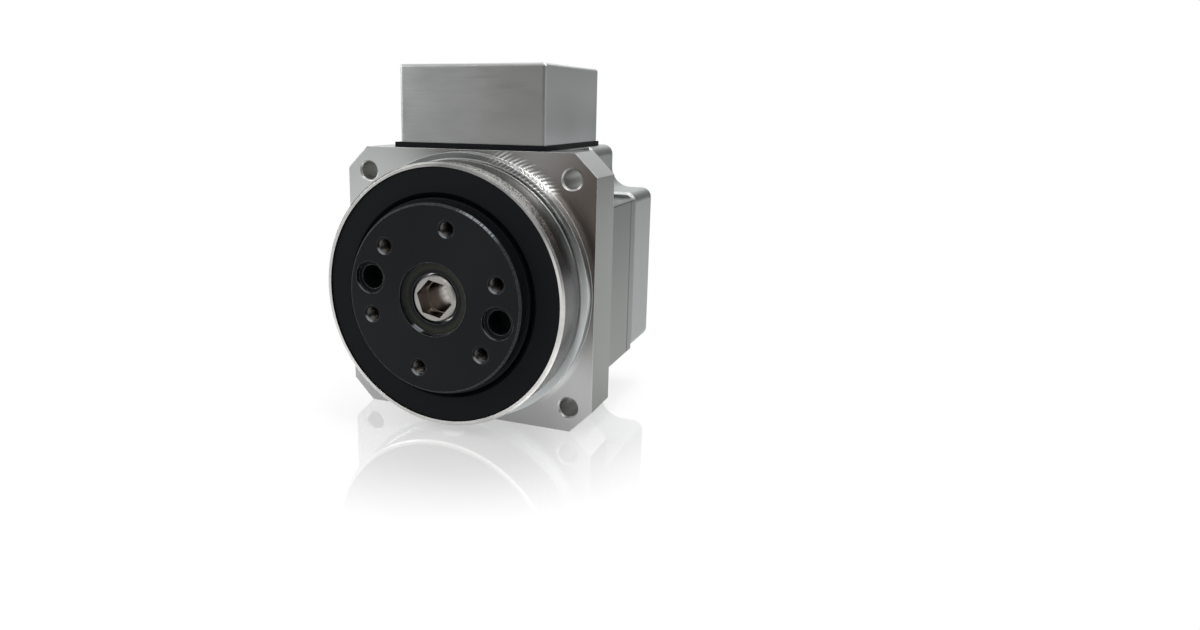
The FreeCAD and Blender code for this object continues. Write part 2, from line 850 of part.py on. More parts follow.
def flexspline_clamp():
    ring = tube(clamp_front, flex_screw_seat, flexspline_boss_radius, clamp_bore)
    for x, z in flex_screw_places():
        ring = ring.cut(cylinder(clamp_front - 1, flex_screw_seat + 1, m2_clearance_radius, x, z))
    return ring


def screws_at(places, make):
    return group([make(x, z) for x, z in places])


def flexspline_screws():
    return screws_at(flex_screw_places(), lambda x, z: screw(
        m2_tap_radius, m2_head_radius, m2_head_height, flex_screw_length, flex_screw_seat, -1, x, z))


def ring_screws():
    return screws_at(ring_screw_places(), lambda x, z: screw(
        m2_tap_radius, m2_head_radius, m2_head_height, ring_screw_length, ring_screw_seat, -1, x, z))


def housing_screws():
    return screws_at(housing_screw_places(), lambda x, z: screw(
        m2_tap_radius, m2_head_radius, m2_head_height, housing_screw_length, lip_rear, -1, x, z))


def oval_ring(outer, inner):
    y1 = wave_front + wave_width
    return oval_prism(outer, wave_front, y1).cut(oval_prism(inner, wave_front - 1, y1 + 1))


def wave_generator_cam():
    cam = oval_prism(cam_radius, wave_front, wave_front + wave_width)
    cam = cam.cut(cylinder(wave_front - 1, wave_front + wave_width + 1, shaft_radius))
    for i in range(cam_hole_count):
        x, z = on_circle(shaft_radius + cam_web / 2, 45 + 360.0 * i / cam_hole_count)
        cam = cam.cut(cylinder(wave_front - 1, wave_front + wave_width + 1, cam_hole_radius, x, z))
    return cam


def wave_bearing_rollers():
    rollers = []
    inset = wave_roller_end_gap
    for i in range(wave_roller_count):
        angle = 2 * math.pi * i / wave_roller_count
        x = (wave_roller_pitch - deflection) * math.sin(angle)
        z = (wave_roller_pitch + deflection) * math.cos(angle)
        y1 = wave_front + wave_width - inset
        rollers.append(cylinder(wave_front + inset, y1, wave_roller_diameter / 2, x, z))
    return group(rollers)


def bearing_sizes(outer, width):
    # Ring thickness, ball radius and ball pitch radius of a deep groove bearing.
    space = outer - shaft_radius
    thickness = space * bearing_ring_share
    ball = min(space * bearing_ball_share, width * bearing_ball_width_share)
    return thickness, ball, (outer + shaft_radius) / 2


def groove(y, pitch, ball):
    return Part.makeTorus(pitch, ball + bearing_ball_clearance, Vector(0, y, 0), along_y)


def bearing_ring_pair(outer, front, width):
    thickness, ball, pitch = bearing_sizes(outer, width)
    cutter = groove(front + width / 2, pitch, ball)
    outside = tube(front, front + width, outer, outer - thickness).cut(cutter)
    inside = tube(front, front + width, shaft_radius + thickness, shaft_radius).cut(cutter)
    return outside, inside


def bearing_balls(outer, front, width, count):
    thickness, ball, pitch = bearing_sizes(outer, width)
    balls = []
    for i in range(count):
        x, z = on_circle(pitch, 360.0 * i / count)
        balls.append(Part.makeSphere(ball, Vector(x, front + width / 2, z)))
    return group(balls)


def hollow_shaft():
    groove_radius = shaft_radius - circlip_groove_depth
    c = hub_chamfer
    profile = [
        (shaft_front, shaft_bore_radius),
        (shaft_front, shaft_collar_radius - c),
        (shaft_front + c, shaft_collar_radius),
        (front_bearing_front, shaft_collar_radius),
        (front_bearing_front, shaft_radius),
        (cover_web_rear, shaft_radius),
        (cover_web_rear, groove_radius),
        (cover_web_rear + circlip_thickness, groove_radius),
        (cover_web_rear + circlip_thickness, shaft_radius),
        (shaft_rear - c, shaft_radius),
        (shaft_rear, shaft_radius - c),
        (shaft_rear, shaft_bore_radius),
    ]
    shaft = turned(profile)
    socket = hex_prism(hex_across_flats, shaft_front - 1, shaft_front + hex_depth, 0, 0, hex_turn)
    return shaft.cut(socket)


def shaft_circlip():
    y0 = cover_web_rear
    y1 = y0 + circlip_thickness
    ring = tube(y0, y1, circlip_radius, shaft_radius - circlip_groove_depth)
    half = circlip_half_opening
    opening = block(-half, half, y0 - 1, y1 + 1, 0, circlip_radius + 1)
    return ring.cut(opening)


def front_spacer():
    y0 = front_bearing_front + front_bearing_width
    return tube(y0, wave_front, front_spacer_radius, shaft_radius)


def middle_spacer():
    return tube(wave_front + wave_width, rotor_hub_front, spacer_radius, shaft_radius)


def rear_spacer():
    return tube(rotor_hub_rear, rear_bearing_front, spacer_radius, shaft_radius)


def rotor_hub():
    middle = (stator_front + stator_rear) / 2
    w = rotor_web_thickness / 2
    profile = [
        (rotor_hub_front, shaft_radius),
        (rotor_hub_front, rotor_hub_radius),
        (middle - w, rotor_hub_radius),
        (middle - w, rotor_iron_inner),
        (stator_front, rotor_iron_inner),
        (stator_front, magnet_inner),
        (stator_rear, magnet_inner),
        (stator_rear, rotor_iron_inner),
        (middle + w, rotor_iron_inner),
        (middle + w, rotor_hub_radius),
        (rotor_hub_rear, rotor_hub_radius),
        (rotor_hub_rear, shaft_radius),
    ]
    return turned(profile)


def rotor_magnets():
    ring = tube(stator_front, stator_rear, rotor_radius, magnet_inner)
    half = math.pi * magnet_share * (rotor_radius + magnet_inner) / (2 * magnet_count)
    bar = block(-half, half, stator_front - 1, stator_rear + 1, magnet_inner - 1, rotor_radius + 1)
    magnet = ring.common(bar)
    return group(ring_of(magnet, magnet_count))


def stator_core():
    core = tube(stator_front, stator_rear, motor_bore_radius, motor_bore_radius - stator_yoke)
    inside = stator_bore_radius - 1
    half = stator_tooth_width / 2
    tooth = block(-half, half, stator_front, stator_rear, inside, motor_bore_radius - stator_yoke / 2)
    w = stator_shoe_width / 2
    shoe = block(-w, w, stator_front, stator_rear, inside, stator_bore_radius + stator_shoe_height)
    core = core.fuse(ring_of(tooth, stator_slots) + ring_of(shoe, stator_slots))
    return core.cut(cylinder(stator_front - 1, stator_rear + 1, stator_bore_radius)).removeSplitter()


def stator_windings():
    inner_half = stator_tooth_width / 2 + coil_clearance
    low = stator_bore_radius + stator_shoe_height + coil_clearance
    high = coil_outer_radius
    y0 = stator_front - coil_overhang
    y1 = stator_rear + coil_overhang
    slot_angle = math.pi / stator_slots
    wide_low = low * math.tan(slot_angle) - coil_clearance
    wide_high = min(high * math.tan(slot_angle) - coil_clearance, wide_low + coil_flare)
    points = [
        Vector(-wide_low, y0, low),
        Vector(wide_low, y0, low),
        Vector(wide_high, y0, high),
        Vector(-wide_high, y0, high),
    ]
    coil = Part.Face(Part.makePolygon(points + [points[0]])).extrude(Vector(0, y1 - y0, 0))
    g = coil_clearance
    coil = coil.cut(block(-inner_half, inner_half, stator_front - g, stator_rear + g, low - 1, high + 1))
    return group(ring_of(coil, stator_slots))


def motor_leads():
    y = stator_front - lead_setback
    leads = []
    for i in (-1, 0, 1):
        x = i * lead_spacing
        foot = Vector(x, y, coil_outer_radius)
        leads.append(Part.makeCylinder(lead_radius, board_bottom - coil_outer_radius, foot, up))
    return group(leads)


def rear_cover():
    front = body_rear
    solid = prism(notched_outline(cover_reach_upper, cover_reach_lower, cover_edge_radius), front, cover_rear)
    long_edges = []
    for edge in solid.Edges:
        if abs(edge.CenterOfMass.y - front) < 0.001:
            long_edges.append(edge)
    solid = solid.makeChamfer(cover_front_chamfer, long_edges)
    solid = solid.cut(cylinder(front - 1, cover_web_front, cover_front_cavity))
    solid = solid.cut(cylinder(cover_web_rear, cover_rear + 1, cover_rear_cavity))
    solid = solid.cut(cylinder(plate_front, cover_rear + 1, end_plate_radius + end_plate_clearance))
    solid = solid.cut(cylinder(rear_bearing_front, cover_rear, rear_bearing_outer))
    solid = solid.cut(cylinder(front, cover_rear, rear_bearing_outer - bearing_seat_step))
    outer = motor_bore_radius - cover_spigot_clearance
    spigot = tube(cover_spigot_front, front + 1, outer, outer - cover_spigot_wall)
    solid = solid.fuse(spigot)
    encoder_depth = encoder_screw_bite + encoder_hole_spare
    for x, z in encoder_screw_places():
        post = cylinder(cover_web_rear - boss_root, encoder_board_front, encoder_post_radius, x, z)
        hole = cylinder(encoder_board_front - encoder_depth, encoder_board_front + 1, m16_tap_radius, x, z)
        solid = solid.fuse(post).cut(hole)
    for x, z in hole_centres(cover_screw_x, cover_screw_z):
        solid = solid.cut(cylinder(front - 1, cover_rear + 1, m25_clearance_radius, x, z))
        solid = solid.cut(cylinder(cover_screw_seat, cover_rear + 1, m25_head_radius + head_clearance, x, z))
    end_depth = end_screw_bite + end_hole_spare
    for x, z in end_screw_places():
        boss = cylinder(cover_web_rear - boss_root, plate_front, end_plate_boss_radius, x, z)
        hole = cylinder(plate_front - end_depth, plate_front + 1, m16_tap_radius, x, z)
        solid = solid.fuse(boss).cut(hole)
    for x, y in box_screw_places():
        if y > body_rear:
            solid = solid.cut(box_screw_hole(x, y))
    return solid


def rear_cover_screws():
    return screws_at(hole_centres(cover_screw_x, cover_screw_z), lambda x, z: screw(
        m25_tap_radius, m25_head_radius, m25_head_height, cover_screw_length, cover_screw_seat, -1, x, z))


def end_plate():
    plate = tube(plate_front, cover_rear, end_plate_radius, end_plate_bore)
    for x, z in end_screw_places():
        plate = plate.cut(cylinder(plate_front - 1, cover_rear + 1, m16_clearance_radius, x, z))
        plate = plate.cut(cylinder(end_screw_seat, cover_rear + 1, m16_head_radius + head_clearance, x, z))
    return plate


def end_plate_screws():
    return screws_at(end_screw_places(), lambda x, z: screw(
        m16_tap_radius, m16_head_radius, m16_head_height, end_screw_length, end_screw_seat, -1, x, z))


def encoder_disc():
    hub = tube(cover_web_rear + circlip_thickness, encoder_disc_front, spacer_radius, shaft_radius)
    rear = encoder_disc_front + encoder_disc_thickness
    disc = tube(encoder_disc_front, rear, encoder_disc_radius, shaft_radius)
    return hub.fuse(disc)


def encoder_board():
    front = encoder_board_front
    rear = encoder_board_rear
    board = tube(front, rear, encoder_board_radius, encoder_board_bore)
    for x, z in encoder_screw_places():
        board = board.cut(cylinder(front - 1, rear + 1, m16_clearance_radius, x, z))
    for x, z in end_screw_places():
        board = board.cut(cylinder(front - 1, rear + 1, encoder_board_notch, x, z))
    return board


def encoder_screws():
    return screws_at(encoder_screw_places(), lambda x, z: screw(
        m16_tap_radius, m16_head_radius, m16_head_height, encoder_screw_length, encoder_board_rear, -1, x, z))


def encoder_reader():
    half = encoder_chip_size / 2
    front = encoder_disc_front + encoder_disc_thickness + encoder_chip_gap
    middle = encoder_disc_radius - half - encoder_chip_inset
    return block(-half, half, front, encoder_board_front, -middle - half, -middle + half)


def box_screw_places():
    ends = (box_front + box_screw_inset, box_rear - box_screw_inset)
    return [(sx * box_screw_x, y) for sx in (1, -1) for y in ends]


def drive_cover():
    w = box_half_width
    outside = block(-w, w, box_front, box_rear, box_bottom, box_top)
    rounded = []
    for edge in outside.Edges:
        if edge.CenterOfMass.z > box_bottom + 0.001:
            rounded.append(edge)
    outside = outside.makeFillet(box_edge_radius, rounded)
    t = box_wall
    inside = block(-w + t, w - t, box_front + t, box_rear - t, box_bottom - 1, box_top - t)
    cover = outside.cut(inside)
    for x, y in box_screw_places():
        height = box_height - t + box_post_root
        post = Part.makeCylinder(box_post_radius, height, Vector(x, y, box_bottom), up)
        cover = cover.fuse(post)
        foot = Vector(x, y, box_bottom - 1)
        cover = cover.cut(Part.makeCylinder(m2_clearance_radius, box_height + 2, foot, up))
        head = m2_head_radius + head_clearance
        depth = m2_head_height + head_clearance
        cover = cover.cut(Part.makeCylinder(head, depth + 1, Vector(x, y, box_top - depth), up))
    for x in (power_socket_x, data_socket_x):
        g = socket_clearance
        half = socket_width / 2 + g
        low = board_top - g
        high = low + socket_height + 2 * g
        cover = cover.cut(block(x - half, x + half, box_rear - t - 1, box_rear + 1, low, high))
    return cover


def drive_cover_screws():
    screws = []
    seat = box_top - m2_head_height - head_clearance
    for x, y in box_screw_places():
        length = seat - half_flange + box_screw_bite
        head = Part.makeCylinder(m2_head_radius, m2_head_height, Vector(x, y, seat), up)
        shank = Part.makeCylinder(m2_tap_radius, length, Vector(x, y, seat), -up)
        socket = hex_prism(m2_head_radius * head_socket_share, 0, m2_head_height / 2)
        socket.rotate(origin, Vector(1, 0, 0), 90)
        socket.translate(Vector(x, y, seat + m2_head_height / 2))
        screws.append(head.fuse(shank).cut(socket))
    return group(screws)


def drive_gasket():
    w = box_half_width
    s = gasket_side_reach
    z0 = half_flange
    z1 = box_bottom
    r = gasket_reach
    sheet = block(-w - s, w + r, box_front - r, box_rear + r, z0, z1)
    f = gasket_frame
    inner_x = w - box_screw_inset - box_post_radius
    inner_y = box_screw_inset + box_post_radius
    sheet = sheet.cut(block(-w + f, w - f, box_front + inner_y, box_rear - inner_y, z0 - 1, z1 + 1))
    sheet = sheet.cut(block(-inner_x, inner_x, box_front + f, box_rear - f, z0 - 1, z1 + 1))
    for x, y in box_screw_places():
        foot = Vector(x, y, z0 - 1)
        sheet = sheet.cut(Part.makeCylinder(m2_clearance_radius, gasket_thickness + 2, foot, up))
    return sheet


def standoff_places():
    # The rear pair stands on the housing, never on the cover behind it.
    y0 = board_front + standoff_front_inset
    y1 = min(board_rear, body_rear) - standoff_inset
    return [(sx * standoff_x, y) for sx in (1, -1) for y in (y0, y1)]


def drive_standoffs():
    posts = []
    for x, y in standoff_places():
        posts.append(Part.makeCylinder(standoff_radius, standoff_height, Vector(x, y, half_flange), up))
    return group(posts)


def drive_board():
    w = board_half_width
    board = block(-w, w, board_front, board_rear, board_bottom, board_top)
    depth = board_thickness + 2
    for x, y in standoff_places():
        board = board.cut(Part.makeCylinder(m16_radius, depth, Vector(x, y, board_bottom - 1), up))
    for i in (-1, 0, 1):
        foot = Vector(i * lead_spacing, stator_front - lead_setback, board_bottom - 1)
        board = board.cut(Part.makeCylinder(lead_radius, depth, foot, up))
    return board


def drive_transistors():
    s = transistor_size
    chips = []
    for row in range(2):
        for column in range(3):
            x = (column - 1) * (s + transistor_gap) - s / 2
            y = board_front + transistor_setback + row * (s + transistor_row_gap)
            chips.append(block(x, x + s, y, y + transistor_depth, board_top, board_top + transistor_height))
    return group(chips)


def drive_capacitors():
    x = board_half_width - capacitor_radius - capacitor_inset
    y = board_front + capacitor_setback
    cans = []
    for sx in (1, -1):
        cans.append(Part.makeCylinder(capacitor_radius, capacitor_height, Vector(sx * x, y, board_top), up))
    return group(cans)


def socket_shell(x, pins):
    z0 = board_top
    rear = box_rear + socket_protrusion
    half = socket_width / 2
    front = rear - socket_length
    body = block(x - half, x + half, front, rear, z0, z0 + socket_height)
    t = socket_wall
    mouth = block(x - half + t, x + half - t, rear - socket_depth, rear + 1, z0 + t, z0 + socket_height - t)
    body = body.cut(mouth)
    spacing = (socket_width - 2 * t) / (pins + 1)
    rods = []
    for i in range(pins):
        px = x + (i - (pins - 1) / 2) * spacing
        root = rear - socket_depth - socket_pin_root
        rods.append(cylinder(root, rear - socket_pin_setback, socket_pin_radius, px, z0 + socket_height / 2))
    return body.cut(group(rods)), group(rods)


def power_socket():
    return socket_shell(power_socket_x, 2)[0]


def data_socket():
    return socket_shell(data_socket_x, 4)[0]


def socket_pins():
    return group(socket_shell(power_socket_x, 2)[1].Solids + socket_shell(data_socket_x, 4)[1].Solids)


front_outer, front_inner = bearing_ring_pair(front_bearing_outer, front_bearing_front, front_bearing_width)
rear_outer, rear_inner = bearing_ring_pair(rear_bearing_outer, rear_bearing_front, rear_bearing_width)

nodes = {
    "main_housing": main_housing(),
    "bearing_outer_ring": bearing_outer_ring(),
    "bearing_plug": bearing_plug(),
    "bearing_plug_pin": bearing_plug_pin(),
    "output_seal": output_seal(),
    "output_flange": output_flange(),
    "bearing_rollers": bearing_rollers(),
    "circular_spline": circular_spline(),
    "flexspline": flexspline(),
    "flexspline_clamp": flexspline_clamp(),
    "flexspline_screws": flexspline_screws(),
    "ring_screws": ring_screws(),
    "housing_screws": housing_screws(),
    "wave_generator_cam": wave_generator_cam(),
    "wave_bearing_outer": oval_ring(wave_outer, wave_race_bore),
    "wave_bearing_inner": oval_ring(wave_inner_race, cam_radius),
    "wave_bearing_rollers": wave_bearing_rollers(),
    "hollow_shaft": hollow_shaft(),
    "shaft_circlip": shaft_circlip(),
    "front_spacer": front_spacer(),
    "middle_spacer": middle_spacer(),
    "rear_spacer": rear_spacer(),
    "front_bearing_outer": front_outer,
    "front_bearing_inner": front_inner,
    "front_bearing_balls": bearing_balls(
        front_bearing_outer, front_bearing_front, front_bearing_width, front_ball_count),
    "rear_bearing_outer": rear_outer,
    "rear_bearing_inner": rear_inner,
    "rear_bearing_balls": bearing_balls(
        rear_bearing_outer, rear_bearing_front, rear_bearing_width, rear_ball_count),
    "rotor_hub": rotor_hub(),
    "rotor_magnets": rotor_magnets(),
    "stator_core": stator_core(),
    "stator_windings": stator_windings(),
    "motor_leads": motor_leads(),
    "rear_cover": rear_cover(),
    "rear_cover_screws": rear_cover_screws(),
    "end_plate": end_plate(),
    "end_plate_screws": end_plate_screws(),
    "encoder_disc": encoder_disc(),
    "encoder_board": encoder_board(),
    "encoder_screws": encoder_screws(),
    "encoder_reader": encoder_reader(),
    "drive_cover": drive_cover(),
    "drive_cover_screws": drive_cover_screws(),
    "drive_gasket": drive_gasket(),
    "drive_board": drive_board(),
    "drive_standoffs": drive_standoffs(),
    "drive_transistors": drive_transistors(),
    "drive_capacitors": drive_capacitors(),
    "power_socket": power_socket(),
    "data_socket": data_socket(),
    "socket_pins": socket_pins(),
}

os.makedirs("parts", exist_ok=True)
for name, shape in nodes.items():
    shape.exportStep("parts/" + name + ".step")
    print(name, len(shape.Solids), shape.isValid(), round(shape.Volume, 2))
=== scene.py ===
import math
import bpy
import numpy as np
from mathutils import Euler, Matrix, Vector


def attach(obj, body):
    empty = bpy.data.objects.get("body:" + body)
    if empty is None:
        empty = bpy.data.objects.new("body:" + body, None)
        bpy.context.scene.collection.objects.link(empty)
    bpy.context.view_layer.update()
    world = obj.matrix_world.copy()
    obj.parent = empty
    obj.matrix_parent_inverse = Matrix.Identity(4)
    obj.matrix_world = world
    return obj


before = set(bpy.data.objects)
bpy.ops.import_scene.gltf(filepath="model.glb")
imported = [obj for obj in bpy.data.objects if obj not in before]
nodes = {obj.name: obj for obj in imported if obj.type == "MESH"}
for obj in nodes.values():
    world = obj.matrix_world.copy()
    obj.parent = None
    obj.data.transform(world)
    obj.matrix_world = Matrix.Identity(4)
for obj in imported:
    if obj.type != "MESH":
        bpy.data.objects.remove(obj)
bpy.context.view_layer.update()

scene = bpy.context.scene
mm = 0.001
print("frame loaded:", len(nodes), "parts")

cameraLook = {
    "place": (70.657, -135.457, 32.693),      # mm, right of the object and a little above it
    "turn": (78.729, -0.605, 22.988),         # degrees
    "lens": 25.298, "sensor": 36.0,           # mm
    "clip": (5.0, 20000.0),                   # mm
    "shift": (0.0553, -0.0339),
}


def makeCamera(look):
    lensData = bpy.data.cameras.new("photoCamera")
    lensData.sensor_width = look["sensor"]
    lensData.lens = look["lens"]
    lensData.shift_x, lensData.shift_y = look["shift"]
    lensData.clip_start, lensData.clip_end = (place * mm for place in look["clip"])
    camera = bpy.data.objects.new("photoCamera", lensData)
    camera.location = Vector(look["place"]) * mm
    camera.rotation_euler = Euler([math.radians(a) for a in look["turn"]])
    scene.collection.objects.link(camera)
    scene.camera = camera


makeCamera(cameraLook)
scene.view_settings.view_transform = "Standard"
print("camera placed")


def startMaterial(name):
    material = bpy.data.materials.new(name)
    material.use_nodes = True
    tree = material.node_tree
    tree.nodes.clear()
    output = tree.nodes.new("ShaderNodeOutputMaterial")
    return material, tree, output


def put(tree, socket, value):
    # a socket takes either another node's output or a plain value
    if isinstance(value, bpy.types.NodeSocket):
        tree.links.new(value, socket)
    elif isinstance(value, (tuple, list)) and len(value) == 3 and socket.type == "RGBA":
        socket.default_value = (*value, 1.0)
    else:
        socket.default_value = value


def calc(tree, operation, a, b=None, clamp=False):
    node = tree.nodes.new("ShaderNodeMath")
    node.operation = operation
    node.use_clamp = clamp
    put(tree, node.inputs[0], a)
    if b is not None:
        put(tree, node.inputs[1], b)
    return node.outputs[0]


def plus(tree, a, b, clamp=False):
    return calc(tree, "ADD", a, b, clamp)


def minus(tree, a, b):
    return calc(tree, "SUBTRACT", a, b)


def times(tree, first, *others):
    for other in others:
        first = calc(tree, "MULTIPLY", first, other)
    return first


def larger(tree, a, b):
    return calc(tree, "MAXIMUM", a, b)


def fade(tree, value, low, high, toLow=0.0, toHigh=1.0):
    node = tree.nodes.new("ShaderNodeMapRange")
    node.interpolation_type = "SMOOTHSTEP"
    put(tree, node.inputs["Value"], value)
    node.inputs["From Min"].default_value = low
    node.inputs["From Max"].default_value = high
    node.inputs["To Min"].default_value = toLow
    node.inputs["To Max"].default_value = toHigh
    return node.outputs["Result"]


def blendColours(tree, share, first, second):
    node = tree.nodes.new("ShaderNodeMix")
    node.data_type = "RGBA"
    put(tree, node.inputs[0], share)
    put(tree, node.inputs[6], first)
    put(tree, node.inputs[7], second)
    return node.outputs[2]


def blendValues(tree, share, first, second):
    node = tree.nodes.new("ShaderNodeMix")
    node.data_type = "FLOAT"
    put(tree, node.inputs[0], share)
    put(tree, node.inputs[2], first)
    put(tree, node.inputs[3], second)
    return node.outputs[0]


def vectorCalc(tree, operation, a, b=None):
    node = tree.nodes.new("ShaderNodeVectorMath")
    node.operation = operation
    put(tree, node.inputs[0], a)
    if b is not None:
        put(tree, node.inputs[1], b)
    return node.outputs["Value" if operation in ("LENGTH", "DOT_PRODUCT") else "Vector"]


def noiseAlong(tree, value, perMm, detail, roughness):
    # random lines across one measure, so many per millimetre
    node = tree.nodes.new("ShaderNodeTexNoise")
    node.noise_dimensions = "1D"
    put(tree, node.inputs["W"], value)
    node.inputs["Scale"].default_value = perMm / mm
    node.inputs["Detail"].default_value = detail
    node.inputs["Roughness"].default_value = roughness
    return node.outputs["Fac"]


def noiseIn(tree, vector, perMm, detail, roughness=0.55):
    node = tree.nodes.new("ShaderNodeTexNoise")
    put(tree, node.inputs["Vector"], vector)
    node.inputs["Scale"].default_value = perMm / mm
    node.inputs["Detail"].default_value = detail
    node.inputs["Roughness"].default_value = roughness
    return node.outputs["Fac"]


def stretched(tree, vector, scales):
    node = tree.nodes.new("ShaderNodeMapping")
    put(tree, node.inputs["Vector"], vector)
    node.inputs["Scale"].default_value = scales
    return node.outputs["Vector"]


def bumped(tree, height, depthMm, strength, normal=None):
    node = tree.nodes.new("ShaderNodeBump")
    node.inputs["Strength"].default_value = strength
    node.inputs["Distance"].default_value = depthMm * mm
    put(tree, node.inputs["Height"], height)
    if normal is not None:
        put(tree, node.inputs["Normal"], normal)
    return node.outputs["Normal"]


edgeSamples = 4


def roundedEdges(tree, radiusMm):
    node = tree.nodes.new("ShaderNodeBevel")
    node.samples = edgeSamples
    node.inputs["Radius"].default_value = radiusMm * mm
    return node.outputs["Normal"]


def edgeShare(tree, rounded, low, high):
    # 0 on flat parts, rising to 1 where the rounded edge turns away from the surface
    sharp = tree.nodes.new("ShaderNodeNewGeometry")
    bend = minus(tree, 1.0, vectorCalc(tree, "DOT_PRODUCT", rounded, sharp.outputs["Normal"]))
    return fade(tree, bend, low, high)


def surfaceFacts(tree):
    # place, distance from the turning axis, and which way the surface faces, all in the piece's own axes;
    # clockAngle is in radians, clockwise from up as seen from the front
    coords = tree.nodes.new("ShaderNodeTexCoord")
    place = tree.nodes.new("ShaderNodeSeparateXYZ")
    put(tree, place.inputs[0], coords.outputs["Object"])
    facing = tree.nodes.new("ShaderNodeSeparateXYZ")
    put(tree, facing.inputs[0], coords.outputs["Normal"])
    x, y, z = place.outputs
    flat = tree.nodes.new("ShaderNodeCombineXYZ")
    put(tree, flat.inputs[0], x)
    put(tree, flat.inputs[2], z)
    across = vectorCalc(tree, "CROSS_PRODUCT", (0.0, 1.0, 0.0), flat.outputs[0])
    return {
        "place": coords.outputs["Object"],
        "x": x, "y": y, "z": z,
        "radius": vectorCalc(tree, "LENGTH", flat.outputs[0]),
        "around": vectorCalc(tree, "NORMALIZE", across),
        "clockAngle": calc(tree, "ARCTAN2", x, z),
        "normal": coords.outputs["Normal"],
        "faceX": calc(tree, "ABSOLUTE", facing.outputs[0]),
        "faceY": calc(tree, "ABSOLUTE", facing.outputs[1]),
        "faceZ": calc(tree, "ABSOLUTE", facing.outputs[2]),
    }


def between(tree, value, low, high, soft):
    # 1 inside low..high and 0 outside, with soft edges
    rise = fade(tree, value, low - soft, low + soft)
    return times(tree, rise, fade(tree, value, high - soft, high + soft, 1.0, 0.0))


def fadeMm(tree, value, low, high, toLow=0.0, toHigh=1.0):
    return fade(tree, value, low * mm, high * mm, toLow, toHigh)


def betweenMm(tree, value, low, high, soft):
    return between(tree, value, low * mm, high * mm, soft * mm)


def fadeDegrees(tree, angle, low, high):
    return fade(tree, angle, math.radians(low), math.radians(high))


def betweenDegrees(tree, angle, low, high, soft):
    # low and high in degrees, the soft edge in radians
    return between(tree, angle, math.radians(low), math.radians(high), soft)


# how far a surface must face along an axis to count as a front or a chamfer
facingLimits = {"front": (0.80, 0.95), "chamfer": (0.45, 0.90, 0.06)}


def frontShare(tree, facts):
    return fade(tree, facts["faceY"], *facingLimits["front"])


def chamferShare(tree, facts):
    return between(tree, facts["faceY"], *facingLimits["chamfer"])


def shine(tree, output, colour, roughness, metallic=0.0, normal=None, **fixed):
    shader = tree.nodes.new("ShaderNodeBsdfPrincipled")
    put(tree, shader.inputs["Base Color"], colour)
    put(tree, shader.inputs["Roughness"], roughness)
    shader.inputs["Metallic"].default_value = metallic
    if normal is not None:
        put(tree, shader.inputs["Normal"], normal)
    for socketName, value in fixed.items():
        put(tree, shader.inputs[socketName.replace("_", " ")], value)
    tree.links.new(shader.outputs[0], output.inputs["Surface"])


def addRegister(tree, facts, isFront, ring, colour, rough):
    # the register's round side is painted brighter than the faces round it, a painted highlight, and painted
    # darker to the right, a painted shade;
    # the body behind the flange is duller, painted darker towards the top, a painted shade, and has a dark
    # seam; the faces at the corners are painted brighter, a painted highlight
    isRing = betweenMm(tree, facts["radius"], *ring["wall"], ring["soft"])
    isRing = times(tree, isRing, minus(tree, 1.0, isFront))
    # painted shade: the register's wall turns darker towards the right
    toRight = fadeDegrees(tree, facts["clockAngle"], *ring["turnsPale"])
    sideColour = blendColours(tree, toRight, ring["colour"], ring["rightColour"])
    colour = blendColours(tree, isRing, colour, sideColour)
    isStep = times(tree, betweenMm(tree, facts["radius"], *ring["step"], ring["soft"]), isFront)
    # painted shade: the body behind the flange is painted darker towards the top
    behind = fadeMm(tree, facts["y"], *ring["behind"])
    upward = fadeMm(tree, facts["z"], *ring["bodyUp"])
    colour = blendColours(tree, behind, colour, blendColours(tree, upward, ring["bodyLow"], ring["bodyHigh"]))
    rough = blendValues(tree, behind, rough, ring["behindRoughness"])
    seam = betweenMm(tree, facts["y"], *ring["seam"], ring["soft"])
    colour = blendColours(tree, times(tree, seam, ring["seamShare"]), colour, ring["seamColour"])
    # painted highlight: faces at the corners are painted as bright as the register's wall
    isCorner = times(tree, between(tree, facts["faceX"], *ring["corner"]),
                     between(tree, facts["faceZ"], *ring["corner"]))
    colour = blendColours(tree, times(tree, isCorner, ring["cornerShare"]), colour, ring["colour"])
    return colour, rough, {"ring": isRing, "step": isStep, "toRight": toRight}


